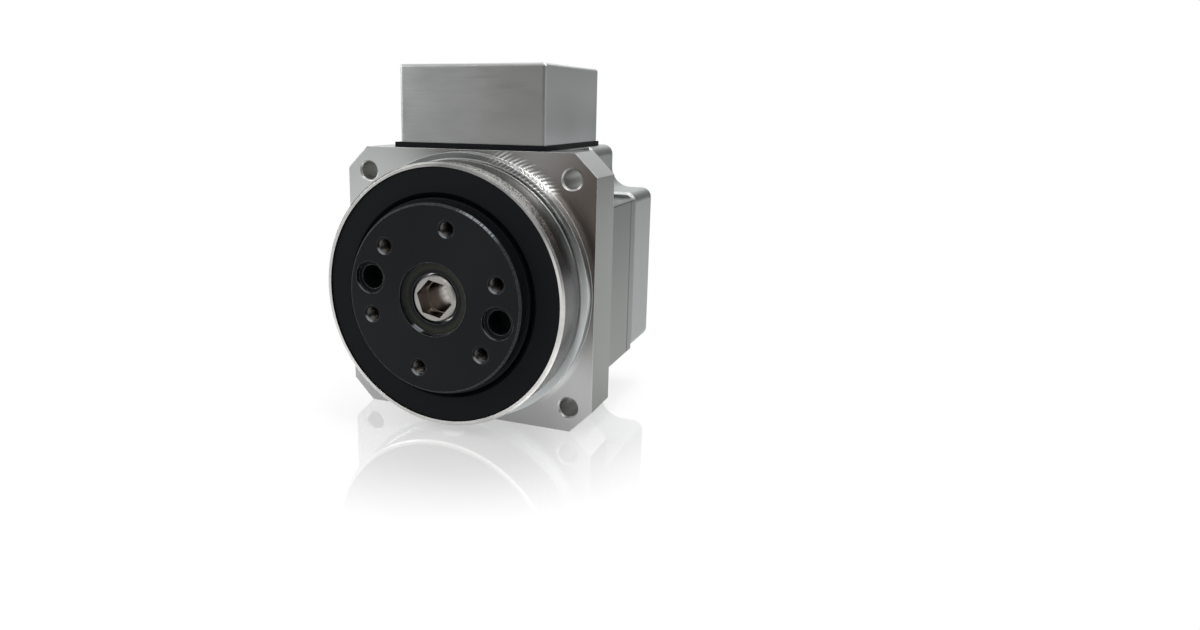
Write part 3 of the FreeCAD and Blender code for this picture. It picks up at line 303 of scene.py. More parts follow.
def paintBossLight(tree, facts, isFront, boss, look, colour, rough):
    # the face round the boss is painted brighter to the left, greyer at the top and browner to the right,
    # painted reflection and painted shade, with a painted highlight at the lower right;
    # the step round the boss is painted dark, a painted shade, and bright to the right, with a painted bright
    # lip line; beside the boss stand painted radial glints: the sine of the clock angle, slanted outwards,
    # each as long as a noise says
    ring = look["register"]
    fan = look["paintedLight"]
    radius = facts["radius"]
    clockAngle = facts["clockAngle"]
    beyond = fadeMm(tree, radius, fan["inner"], fan["areasFrom"])
    # painted reflection and painted shade: areas of the face round the boss
    for area in fan["areas"]:
        share = betweenDegrees(tree, clockAngle, *area["span"], area["soft"])
        share = times(tree, share, isFront, area["share"])
        share = times(tree, share, fade(tree, beyond, 0.0, 1.0, area["near"], area["far"]))
        colour = blendColours(tree, share, colour, area["colour"])
    # painted shade and painted highlight on the step, and a painted bright lip line
    lip = betweenMm(tree, radius, *ring["lip"])
    stepColour = blendColours(tree, boss["toRight"], ring["stepColour"], ring["stepRight"])
    colour = blendColours(tree, boss["step"], colour, stepColour)
    rough = blendValues(tree, times(tree, boss["step"], boss["toRight"]), rough, ring["stepRoughness"])
    colour = blendColours(tree, times(tree, boss["step"], lip), colour, ring["lipColour"])
    # painted glints: radial bright streaks beside the boss
    outward = minus(tree, calc(tree, "DIVIDE", radius, fan["inner"] * mm), 1.0)
    swirl = minus(tree, clockAngle, times(tree, outward, fan["slant"]))
    drift = noiseAlong(tree, swirl, fan["drift"] * mm, *fan["driftNoise"])
    perRadian = 2 * math.pi / math.radians(fan["everyDegrees"])
    phase = plus(tree, times(tree, swirl, perRadian), times(tree, drift, fan["driftShare"]))
    wave = fade(tree, calc(tree, "SINE", phase), *fan["wave"])
    lengths = noiseAlong(tree, swirl, fan["lengths"] * mm, *fan["lengthNoise"])
    tip = fade(tree, lengths, *fan["lengthSpread"], fan["shortest"] * mm, fan["outer"] * mm)
    left = calc(tree, "DIVIDE", minus(tree, tip, radius), (fan["outer"] - fan["inner"]) * mm)
    reach = times(tree, fade(tree, left, *fan["tail"]), fadeMm(tree, radius, *fan["foot"]))
    onBoss = larger(tree, boss["ring"], times(tree, boss["step"], fan["stepShare"]))
    reach = larger(tree, times(tree, reach, isFront), onBoss)
    inFan = betweenDegrees(tree, clockAngle, fan["from"], fan["to"], fan["soft"])
    # painted highlight: a bright core line along the boss at the upper right
    core = times(tree, betweenMm(tree, radius, *fan["core"]),
                 betweenDegrees(tree, clockAngle, fan["coreFrom"], fan["to"], fan["soft"]))
    share = larger(tree, times(tree, inFan, reach, wave), core)
    colour = blendColours(tree, times(tree, share, fan["share"]), colour, fan["glint"])
    return colour, blendValues(tree, share, rough, fan["roughness"])


def addBore(tree, facts, isFront, bore, colour, rough):
    # one colour at the mouth of the bore, and deeper in a smoother one, painted much brighter as a painted
    # reflection
    inBore = times(tree, minus(tree, 1.0, isFront), fadeMm(tree, facts["radius"], *bore["radius"], 1.0, 0.0))
    deep = fadeMm(tree, facts["y"], *bore["deep"])
    colour = blendColours(tree, inBore, colour, blendColours(tree, deep, bore["colour"], bore["deepColour"]))
    return colour, blendValues(tree, times(tree, inBore, deep), rough, bore["roughness"])


def addHoles(tree, facts, hole, colour, rough):
    # the four screw holes are bored, so duller than the faces; the painted edge highlight is mostly taken off
    # their upper edges
    dx = minus(tree, calc(tree, "ABSOLUTE", facts["x"]), hole["at"] * mm)
    dz = minus(tree, calc(tree, "ABSOLUTE", facts["z"]), hole["at"] * mm)
    away = calc(tree, "SQRT", plus(tree, times(tree, dx, dx), times(tree, dz, dz)))
    inHole = calc(tree, "LESS_THAN", away, hole["radius"] * mm)
    above = times(tree, calc(tree, "SIGN", facts["z"]), dz)
    upperEdge = times(tree, calc(tree, "LESS_THAN", away, hole["edgeRadius"] * mm),
                      fadeMm(tree, above, *hole["upper"]))
    rough = blendValues(tree, inHole, rough, hole["roughness"])
    return blendColours(tree, inHole, colour, hole["colour"]), rough, upperEdge


turnedMarks = {
    "lines": (2.0, 0.6),                     # detail, roughness
    "grain": (4.0, 3.0, 0.65),               # per mm, detail, roughness
    "cloud": (0.10, 3.0),                    # per mm, detail
    "contrast": (0.25, 0.75), "speck": (0.42, 0.62), "speckLight": 0.6, "plainLight": 0.4,
    "side": (0.90, 0.98), "cloudRoughness": 0.08,
    "edgeBend": (0.01, 0.10), "edgeGrain": (0.30, 0.55, 0.4, 1.0), "edgeColour": (0.95, 0.95, 0.94),
    "edgeShare": 0.6,                        # unless the finish gives its own
    "bump": 0.6,
}


def turnedMetal(name, look):
    # fine rings round the axis on faces that look along it, fine lines along it on the rest;
    # chamfers and rounded edges get a painted highlight, and faces that look sideways are painted greyer, a
    # painted shade
    material, tree, output = startMaterial(name)
    facts = surfaceFacts(tree)
    isFront = frontShare(tree, facts)
    isSide = fade(tree, facts["faceX"], *turnedMarks["side"])
    measure = blendValues(tree, isFront, facts["y"], facts["radius"])
    lines = noiseAlong(tree, measure, look["linesPerMm"], *turnedMarks["lines"])
    grain = noiseIn(tree, facts["place"], *turnedMarks["grain"])
    cloud = noiseIn(tree, facts["place"], *turnedMarks["cloud"])
    marks = blendValues(tree, look["grainShare"], lines, grain)
    colour = blendColours(tree, fade(tree, marks, *turnedMarks["contrast"]), look["dark"], look["light"])
    # painted shade: faces that look sideways are painted towards the side colour
    colour = blendColours(tree, times(tree, isSide, look["sideShare"]), colour, look["sideColour"])
    colour = blendColours(tree, times(tree, cloud, look["stain"]), colour, look["stainColour"])
    # painted highlight: chamfers are painted towards a bright colour, more where the grain specks
    speck = times(tree, fade(tree, grain, *turnedMarks["speck"]), turnedMarks["speckLight"])
    edgeLight = times(tree, chamferShare(tree, facts), plus(tree, speck, turnedMarks["plainLight"]))
    colour = blendColours(tree, edgeLight, colour, look["edgeColour"])
    rough = blendValues(tree, marks, *look["roughness"])
    rough = plus(tree, rough, times(tree, minus(tree, cloud, 0.5), turnedMarks["cloudRoughness"]))
    rounded = roundedEdges(tree, look["edge"])
    edge = times(tree, edgeShare(tree, rounded, *turnedMarks["edgeBend"]),
                 fade(tree, grain, *turnedMarks["edgeGrain"]))
    if "register" in look:
        colour, rough, boss = addRegister(tree, facts, isFront, look["register"], colour, rough)
        colour, rough = paintBossLight(tree, facts, isFront, boss, look, colour, rough)
    if "bore" in look:
        colour, rough = addBore(tree, facts, isFront, look["bore"], colour, rough)
    if "holes" in look:
        colour, rough, upperEdge = addHoles(tree, facts, look["holes"], colour, rough)
        edge = times(tree, edge, minus(tree, 1.0, times(tree, upperEdge, look["holes"]["edgeLoss"])))
    # painted highlight: rounded edges are painted towards a near-white colour
    share = times(tree, edge, look.get("edgeShare", turnedMarks["edgeShare"]))
    colour = blendColours(tree, share, colour, turnedMarks["edgeColour"])
    normal = bumped(tree, marks, look["markDepth"], turnedMarks["bump"], rounded)
    shine(tree, output, colour, rough, 1.0, normal, Anisotropic=look["anisotropy"], Tangent=facts["around"])
    return material


def ringMetal(name, look):
    # turned bands along the axis: each band is (from, to, tone) in mm, the brightest band a painted highlight
    # line; a beaded band runs round the upper right behind the front edge with painted sparkling highlights,
    # past it to the right the side is painted darker with a painted dark neck, a painted shade, and the front
    # rim is a painted bright line except beside the beads
    material, tree, output = startMaterial(name)
    facts = surfaceFacts(tree)
    clockAngle = facts["clockAngle"]
    isFront = frontShare(tree, facts)
    lines = noiseAlong(tree, facts["y"], look["linesPerMm"], *look["noise"])
    grain = noiseIn(tree, facts["place"], look["grainPerMm"], *look["noise"])
    cloud = noiseIn(tree, facts["place"], *look["cloudNoise"])
    speck = fade(tree, grain, *look["speck"])
    tone = plus(tree, look["base"], times(tree, minus(tree, lines, 0.5), look["lineTone"]))
    for low, high, bandTone in look["bands"]:
        tone = blendValues(tree, betweenMm(tree, facts["y"], low, high, look["bandSoft"]), tone, bandTone)
    # painted shade: the side and the neck are painted darker to the right
    toRight = fadeDegrees(tree, clockAngle, *look["turnsDark"])
    rightTone = plus(tree, look["rightTone"], times(tree, minus(tree, lines, 0.5), look["rightLines"]))
    inNeck = betweenMm(tree, facts["y"], *look["neck"], look["bandSoft"])
    tone = blendValues(tree, toRight, tone, blendValues(tree, inNeck, rightTone, look["neckTone"]))
    beadsAndSparkle = look["beadsAndSparkle"]
    # painted highlight: white sparkle painted on the beads at the upper right
    sparkle = times(tree, betweenMm(tree, facts["y"], *beadsAndSparkle["band"]),
                    betweenDegrees(tree, clockAngle, *beadsAndSparkle["span"], beadsAndSparkle["soft"]))
    tone = blendValues(tree, sparkle, tone, fade(tree, grain, *beadsAndSparkle["contrast"], *beadsAndSparkle["tones"]))
    tone = blendValues(tree, isFront, tone, look["frontTone"])
    # painted highlight: a bright rim line, left out beside the beads
    rim = fadeMm(tree, facts["y"], *look["rim"], look["rimTone"], 0.0)
    beside = betweenDegrees(tree, clockAngle, *beadsAndSparkle["span"], beadsAndSparkle["rimSoft"])
    tone = larger(tree, tone, times(tree, rim, minus(tree, 1.0, beside)))
    tone = times(tree, tone, fade(tree, cloud, *look["cloud"]))
    colour = blendColours(tree, tone, (0.0, 0.0, 0.0), look["white"])
    beadShare = times(tree, speck, sparkle)
    rough = blendValues(tree, beadShare, *look["roughness"])
    height = plus(tree, lines, times(tree, beadShare, beadsAndSparkle["height"]))
    normal = bumped(tree, height, look["markDepth"], look["bump"], roundedEdges(tree, look["edge"]))
    shine(tree, output, colour, rough, 1.0, normal, Anisotropic=look["anisotropy"], Tangent=facts["around"])
    return material


brushMarks = {
    "side": (0.5, 0.9), "stretch": 0.03, "brush": (4.0, 0.65), "cloud": (0.10, 4.0), "contrast": (0.25, 0.75),
    "markShare": 0.6, "cloudShare": 0.4, "rightShadeAcross": (-16.0, 16.0), "cloudRoughness": 0.12,
    "bump": 0.5,
}


def brushedMetal(name, look):
    # straight scratches: along X on faces that look along Y or Z, and along Y on faces that look along X;
    # the colour is painted darker and a little warmer towards +X, a painted shade, and side faces and tops
    # are painted paler, painted light, the sides brighter towards the top
    material, tree, output = startMaterial(name)
    facts = surfaceFacts(tree)
    long = brushMarks["stretch"]
    isSide = fade(tree, facts["faceX"], *brushMarks["side"])
    isTop = fade(tree, facts["faceZ"], *brushMarks["side"])
    alongX = stretched(tree, facts["place"], (long, 1.0, 1.0))
    alongY = stretched(tree, facts["place"], (1.0, long, 1.0))
    front = noiseIn(tree, alongX, look["linesPerMm"], *brushMarks["brush"])
    side = noiseIn(tree, alongY, look["linesPerMm"], *brushMarks["brush"])
    marks = blendValues(tree, isSide, front, side)
    cloud = noiseIn(tree, facts["place"], *brushMarks["cloud"])
    tone = plus(tree, times(tree, fade(tree, marks, *brushMarks["contrast"]), brushMarks["markShare"]),
                times(tree, cloud, brushMarks["cloudShare"]))
    colour = blendColours(tree, tone, look["dark"], look["light"])
    # painted shade: darker and a little warmer towards +X
    across = fadeMm(tree, facts["x"], *brushMarks["rightShadeAcross"])
    colour = blendColours(tree, times(tree, across, look["rightShadeShare"]), colour, look["rightShade"])
    # painted light: side faces painted paler and brighter towards the top, and top faces paler
    upward = fadeMm(tree, facts["z"], *look["paleUp"])
    pale = blendColours(tree, upward, look["paleColour"], look["paleTop"])
    colour = blendColours(tree, times(tree, isSide, look["sidePale"]), colour, pale)
    colour = blendColours(tree, times(tree, isTop, look["topPale"]), colour, look["paleColour"])
    rough = blendValues(tree, marks, *look["roughness"])
    rough = plus(tree, rough, times(tree, minus(tree, cloud, 0.5), brushMarks["cloudRoughness"]))
    normal = bumped(tree, marks, look["markDepth"], brushMarks["bump"], roundedEdges(tree, look["edge"]))
    shine(tree, output, colour, rough, 1.0, normal, Anisotropic=look["anisotropy"])
    return material


blastMarks = {"cloud": (0.09, 4.0), "grain": (3.0, 0.6), "contrast": (0.35, 0.65), "bump": 0.6}


def blastedMetal(name, look):
    # fine dimples all over, as on a bead-blasted casting
    material, tree, output = startMaterial(name)
    facts = surfaceFacts(tree)
    grain = noiseIn(tree, facts["place"], look["grainPerMm"], *blastMarks["grain"])
    cloud = noiseIn(tree, facts["place"], *blastMarks["cloud"])
    colour = blendColours(tree, fade(tree, grain, *blastMarks["contrast"]), look["dark"], look["light"])
    colour = blendColours(tree, times(tree, cloud, look["stain"]), colour, look["stainColour"])
    rough = blendValues(tree, grain, *look["roughness"])
    normal = bumped(tree, grain, look["grainDepth"], blastMarks["bump"], roundedEdges(tree, look["edge"]))
    shine(tree, output, colour, rough, 1.0, normal)
    return material


def rimWearAndGlints(tree, facts, isFront, isChamfer, wearAndHighlight, look):
    # wear and the painted edge highlight stay on the front edges; the rim's chamfer gets painted bright
    # dashes, painted glints, at the upper right, the recess round the hub a painted highlight at the lower
    # left, and each hole a painted bright crescent, a painted highlight, at its mouth
    rim = look["rim"]
    clockAngle = facts["clockAngle"]
    notFront = minus(tree, 1.0, isFront)
    wearAndHighlight = times(tree, wearAndHighlight, fadeMm(tree, facts["y"], *rim["wearAndHighlightTo"], 1.0, 0.0))
    spokes = noiseAlong(tree, clockAngle, rim["spokes"] * mm, *rim["spokeNoise"])
    upperRight = betweenDegrees(tree, clockAngle, *rim["dashes"])
    rubbedAndGlinting = times(tree, fade(tree, spokes, *rim["dashContrast"]), fade(tree, upperRight, *rim["dashFade"]))
    rubbedAndGlinting = times(tree, rubbedAndGlinting, fadeMm(tree, facts["radius"], *rim["radius"]))
    wearAndHighlight = larger(tree, wearAndHighlight, times(tree, times(tree, isChamfer, rubbedAndGlinting), look["rubbedAndGlinting"]))
    lowerLeft = betweenDegrees(tree, clockAngle, *rim["glint"])
    inRecess = betweenMm(tree, facts["radius"], *rim["recess"])
    wearAndHighlight = larger(tree, wearAndHighlight, times(tree, times(tree, inRecess, notFront), lowerLeft))
    facesUp = vectorCalc(tree, "DOT_PRODUCT", facts["normal"], rim["crescentFacing"])
    atMouth = times(tree, fadeMm(tree, facts["y"], *rim["mouth"], 1.0, 0.0), notFront)
    crescent = times(tree, fade(tree, facesUp, *rim["crescent"]), atMouth)
    crescent = times(tree, crescent, betweenMm(tree, facts["radius"], *rim["holes"]))
    return larger(tree, wearAndHighlight, times(tree, crescent, rim["crescentShare"]))


oxideMarks = {
    "rings": (3.0, 0.6),                     # detail, roughness
    "grain": (1.5, 4.0, 0.65),               # per mm, detail, roughness
    "cloud": (0.16, 3.0),                    # per mm, detail
    "wearAndHighlightBend": (0.02, 0.20), "wearAndHighlightGrain": (0.25, 0.60), "chamferShare": 0.5, "grainHeight": 0.4,
    "bump": 0.5,
}


def blackOxide(name, look):
    # black steel with faint turning rings, and corners painted lighter, partly as worn black and partly as a
    # painted edge highlight
    material, tree, output = startMaterial(name)
    facts = surfaceFacts(tree)
    isFront = frontShare(tree, facts)
    isChamfer = chamferShare(tree, facts)
    measure = blendValues(tree, isFront, facts["y"], facts["radius"])
    rings = noiseAlong(tree, measure, look["linesPerMm"], *oxideMarks["rings"])
    grain = noiseIn(tree, facts["place"], *oxideMarks["grain"])
    cloud = noiseIn(tree, facts["place"], *oxideMarks["cloud"])
    rounded = roundedEdges(tree, look["edge"])
    wearAndHighlight = times(tree, edgeShare(tree, rounded, *oxideMarks["wearAndHighlightBend"]),
                 fade(tree, grain, *oxideMarks["wearAndHighlightGrain"]))
    colour = blendColours(tree, rings, look["dark"], look["light"])
    colour = blendColours(tree, times(tree, cloud, look["stain"]), colour, look["stainColour"])
    if "rim" in look:
        rim = look["rim"]
        wearAndHighlight = rimWearAndGlints(tree, facts, isFront, isChamfer, wearAndHighlight, look)
        onFloor = times(tree, fadeMm(tree, facts["y"], *rim["floorDepth"]), isFront)
        onFloor = times(tree, onFloor, betweenMm(tree, facts["radius"], *rim["floor"]))
        colour = blendColours(tree, times(tree, onFloor, rim["floorShare"]), colour, rim["floorColour"])
    else:
        # chamfers painted lighter, partly wear and partly a painted highlight
        wearAndHighlight = larger(tree, wearAndHighlight, times(tree, isChamfer, look["rubbedAndGlinting"] * oxideMarks["chamferShare"]))
    colour = blendColours(tree, times(tree, wearAndHighlight, look["wearAndHighlight"]), colour, look["wearAndHighlightColour"])
    rough = blendValues(tree, grain, *look["roughness"])
    height = plus(tree, rings, times(tree, grain, oxideMarks["grainHeight"]))
    normal = bumped(tree, height, look["markDepth"], oxideMarks["bump"], rounded)
    shine(tree, output, colour, rough, look["metallic"], normal, Anisotropic=look["anisotropy"],
          Tangent=facts["around"], Specular_IOR_Level=look["specular"])
    return material


rubberMarks = {
    "cloud": (0.14, 3.0), "grain": (4.0, 0.7), "contrast": (0.3, 0.7), "dustShare": 0.5, "bump": 0.5,
}


def matteRubber(name, look):
    # a fine matt grain with a little dust in clouds
    material, tree, output = startMaterial(name)
    facts = surfaceFacts(tree)
    grain = noiseIn(tree, facts["place"], look["grainPerMm"], *rubberMarks["grain"])
    cloud = noiseIn(tree, facts["place"], *rubberMarks["cloud"])
    colour = blendColours(tree, fade(tree, grain, *rubberMarks["contrast"]), look["dark"], look["light"])
    colour = blendColours(tree, times(tree, cloud, rubberMarks["dustShare"]), colour, look["dust"])
    rough = blendValues(tree, cloud, *look["roughness"])
    normal = bumped(tree, grain, look["grainDepth"], rubberMarks["bump"], roundedEdges(tree, look["edge"]))
    shine(tree, output, colour, rough, 0.0, normal, Specular_IOR_Level=look["specular"])
    return material


plasticMarks = {
    "cloud": (0.4, 2.0), "grain": (3.0, 0.6), "contrast": (0.3, 0.7), "bump": 0.4, "specular": 0.5,
}


def mouldedPlastic(name, look):
    # an even moulded grain, a little lighter and darker in clouds
    material, tree, output = startMaterial(name)
    facts = surfaceFacts(tree)
    grain = noiseIn(tree, facts["place"], look["grainPerMm"], *plasticMarks["grain"])
    cloud = noiseIn(tree, facts["place"], *plasticMarks["cloud"])
    colour = blendColours(tree, fade(tree, cloud, *plasticMarks["contrast"]), look["dark"], look["light"])
    rough = blendValues(tree, grain, *look["roughness"])
    normal = bumped(tree, grain, look["grainDepth"], plasticMarks["bump"], roundedEdges(tree, look["edge"]))
    shine(tree, output, colour, rough, 0.0, normal, Specular_IOR_Level=plasticMarks["specular"])
    return material


sheetMarks = {
    "seam": (0.36, 0.48), "rim": (0.5, 0.8), "cloud": (0.5, 3.0), "seamShare": 0.85,
    "roughness": (0.36, 0.52), "metallic": 0.9, "seamDepth": 0.04, "bump": 0.7,
}


def laminatedSteel(name, look):
    # thin sheets stacked along the axis, with a dark line between each two: the line lies where
    # the fraction of y / sheet is near 0 or 1
    material, tree, output = startMaterial(name)
    facts = surfaceFacts(tree)
    phase = calc(tree, "FRACT", calc(tree, "DIVIDE", facts["y"], look["sheetMm"] * mm))
    seam = fade(tree, calc(tree, "ABSOLUTE", minus(tree, phase, 0.5)), *sheetMarks["seam"])
    isRim = minus(tree, 1.0, fade(tree, facts["faceY"], *sheetMarks["rim"]))
    seam = times(tree, seam, isRim)
    cloud = noiseIn(tree, facts["place"], *sheetMarks["cloud"])
    colour = blendColours(tree, cloud, look["dark"], look["light"])
    colour = blendColours(tree, times(tree, seam, sheetMarks["seamShare"]), colour, look["seamColour"])
    rough = blendValues(tree, cloud, *sheetMarks["roughness"])
    normal = bumped(tree, minus(tree, 1.0, seam), sheetMarks["seamDepth"], sheetMarks["bump"])
    shine(tree, output, colour, rough, sheetMarks["metallic"], normal)
    return material


boardMarks = {
    "trackWidth": 0.12, "trackSoft": 0.2, "weave": (2.0, 2.0), "trackShare": 0.8,
    "roughness": (0.28, 0.40), "trackDepth": 0.03, "bump": 0.5, "specular": 0.5,
}


def circuitBoard(name, look):
    # solder resist over copper tracks, which show as a paler green
    material, tree, output = startMaterial(name)
    facts = surfaceFacts(tree)
    cells = tree.nodes.new("ShaderNodeTexBrick")
    put(tree, cells.inputs["Vector"], stretched(tree, facts["place"], (1.0 / mm, 1.0 / mm, 1.0 / mm)))
    cells.inputs["Scale"].default_value = look["tracksPerMm"]
    cells.inputs["Mortar Size"].default_value = boardMarks["trackWidth"]
    cells.inputs["Mortar Smooth"].default_value = boardMarks["trackSoft"]
    cells.inputs["Color1"].default_value = (0, 0, 0, 1)
    cells.inputs["Color2"].default_value = (0, 0, 0, 1)
    cells.inputs["Mortar"].default_value = (1, 1, 1, 1)
    tracks = cells.outputs["Color"]
    weave = noiseIn(tree, facts["place"], *boardMarks["weave"])
    colour = blendColours(tree, weave, look["dark"], look["light"])
    colour = blendColours(tree, times(tree, tracks, boardMarks["trackShare"]), colour, look["track"])
    rough = blendValues(tree, weave, *boardMarks["roughness"])
    normal = bumped(tree, tracks, boardMarks["trackDepth"], boardMarks["bump"])
    shine(tree, output, colour, rough, 0.0, normal, Specular_IOR_Level=boardMarks["specular"])
    return material


wireMarks = {
    "crown": (-1.0, 0.4), "cloud": (1.2, 3.0), "roughness": (0.26, 0.38), "metallic": 0.9,
    "grooveDepth": 0.06, "bump": 0.9, "coat": 0.4, "coatRoughness": 0.2,
}


def woundCopper(name, look):
    # enamelled wire laid round each tooth: the groove between two turns is the low part of
    # sin(2 pi radius / wire), and is painted dark, a painted shade
    material, tree, output = startMaterial(name)
    facts = surfaceFacts(tree)
    wave = calc(tree, "SINE", times(tree, facts["radius"], 2 * math.pi / (look["wireMm"] * mm)))
    crown = fade(tree, wave, *wireMarks["crown"])
    cloud = noiseIn(tree, facts["place"], *wireMarks["cloud"])
    colour = blendColours(tree, crown, look["groove"], blendColours(tree, cloud, look["dark"], look["light"]))
    rough = blendValues(tree, cloud, *wireMarks["roughness"])
    normal = bumped(tree, crown, wireMarks["grooveDepth"], wireMarks["bump"])
    shine(tree, output, colour, rough, wireMarks["metallic"], normal,
          Coat_Weight=wireMarks["coat"], Coat_Roughness=wireMarks["coatRoughness"])
    return material


plateMarks = {"cloud": (0.8, 4.0), "fine": (6.0, 2.0), "depth": 0.004, "bump": 0.4}


def platedMetal(name, look):
    # smooth metal with faint clouds and a very fine grain
    material, tree, output = startMaterial(name)
    facts = surfaceFacts(tree)
    cloud = noiseIn(tree, facts["place"], *plateMarks["cloud"])
    fine = noiseIn(tree, facts["place"], *plateMarks["fine"])
    colour = blendColours(tree, cloud, look["dark"], look["light"])
    rough = blendValues(tree, fine, *look["roughness"])
    normal = bumped(tree, fine, plateMarks["depth"], plateMarks["bump"], roundedEdges(tree, look["edge"]))
    shine(tree, output, colour, rough, 1.0, normal)
    return material


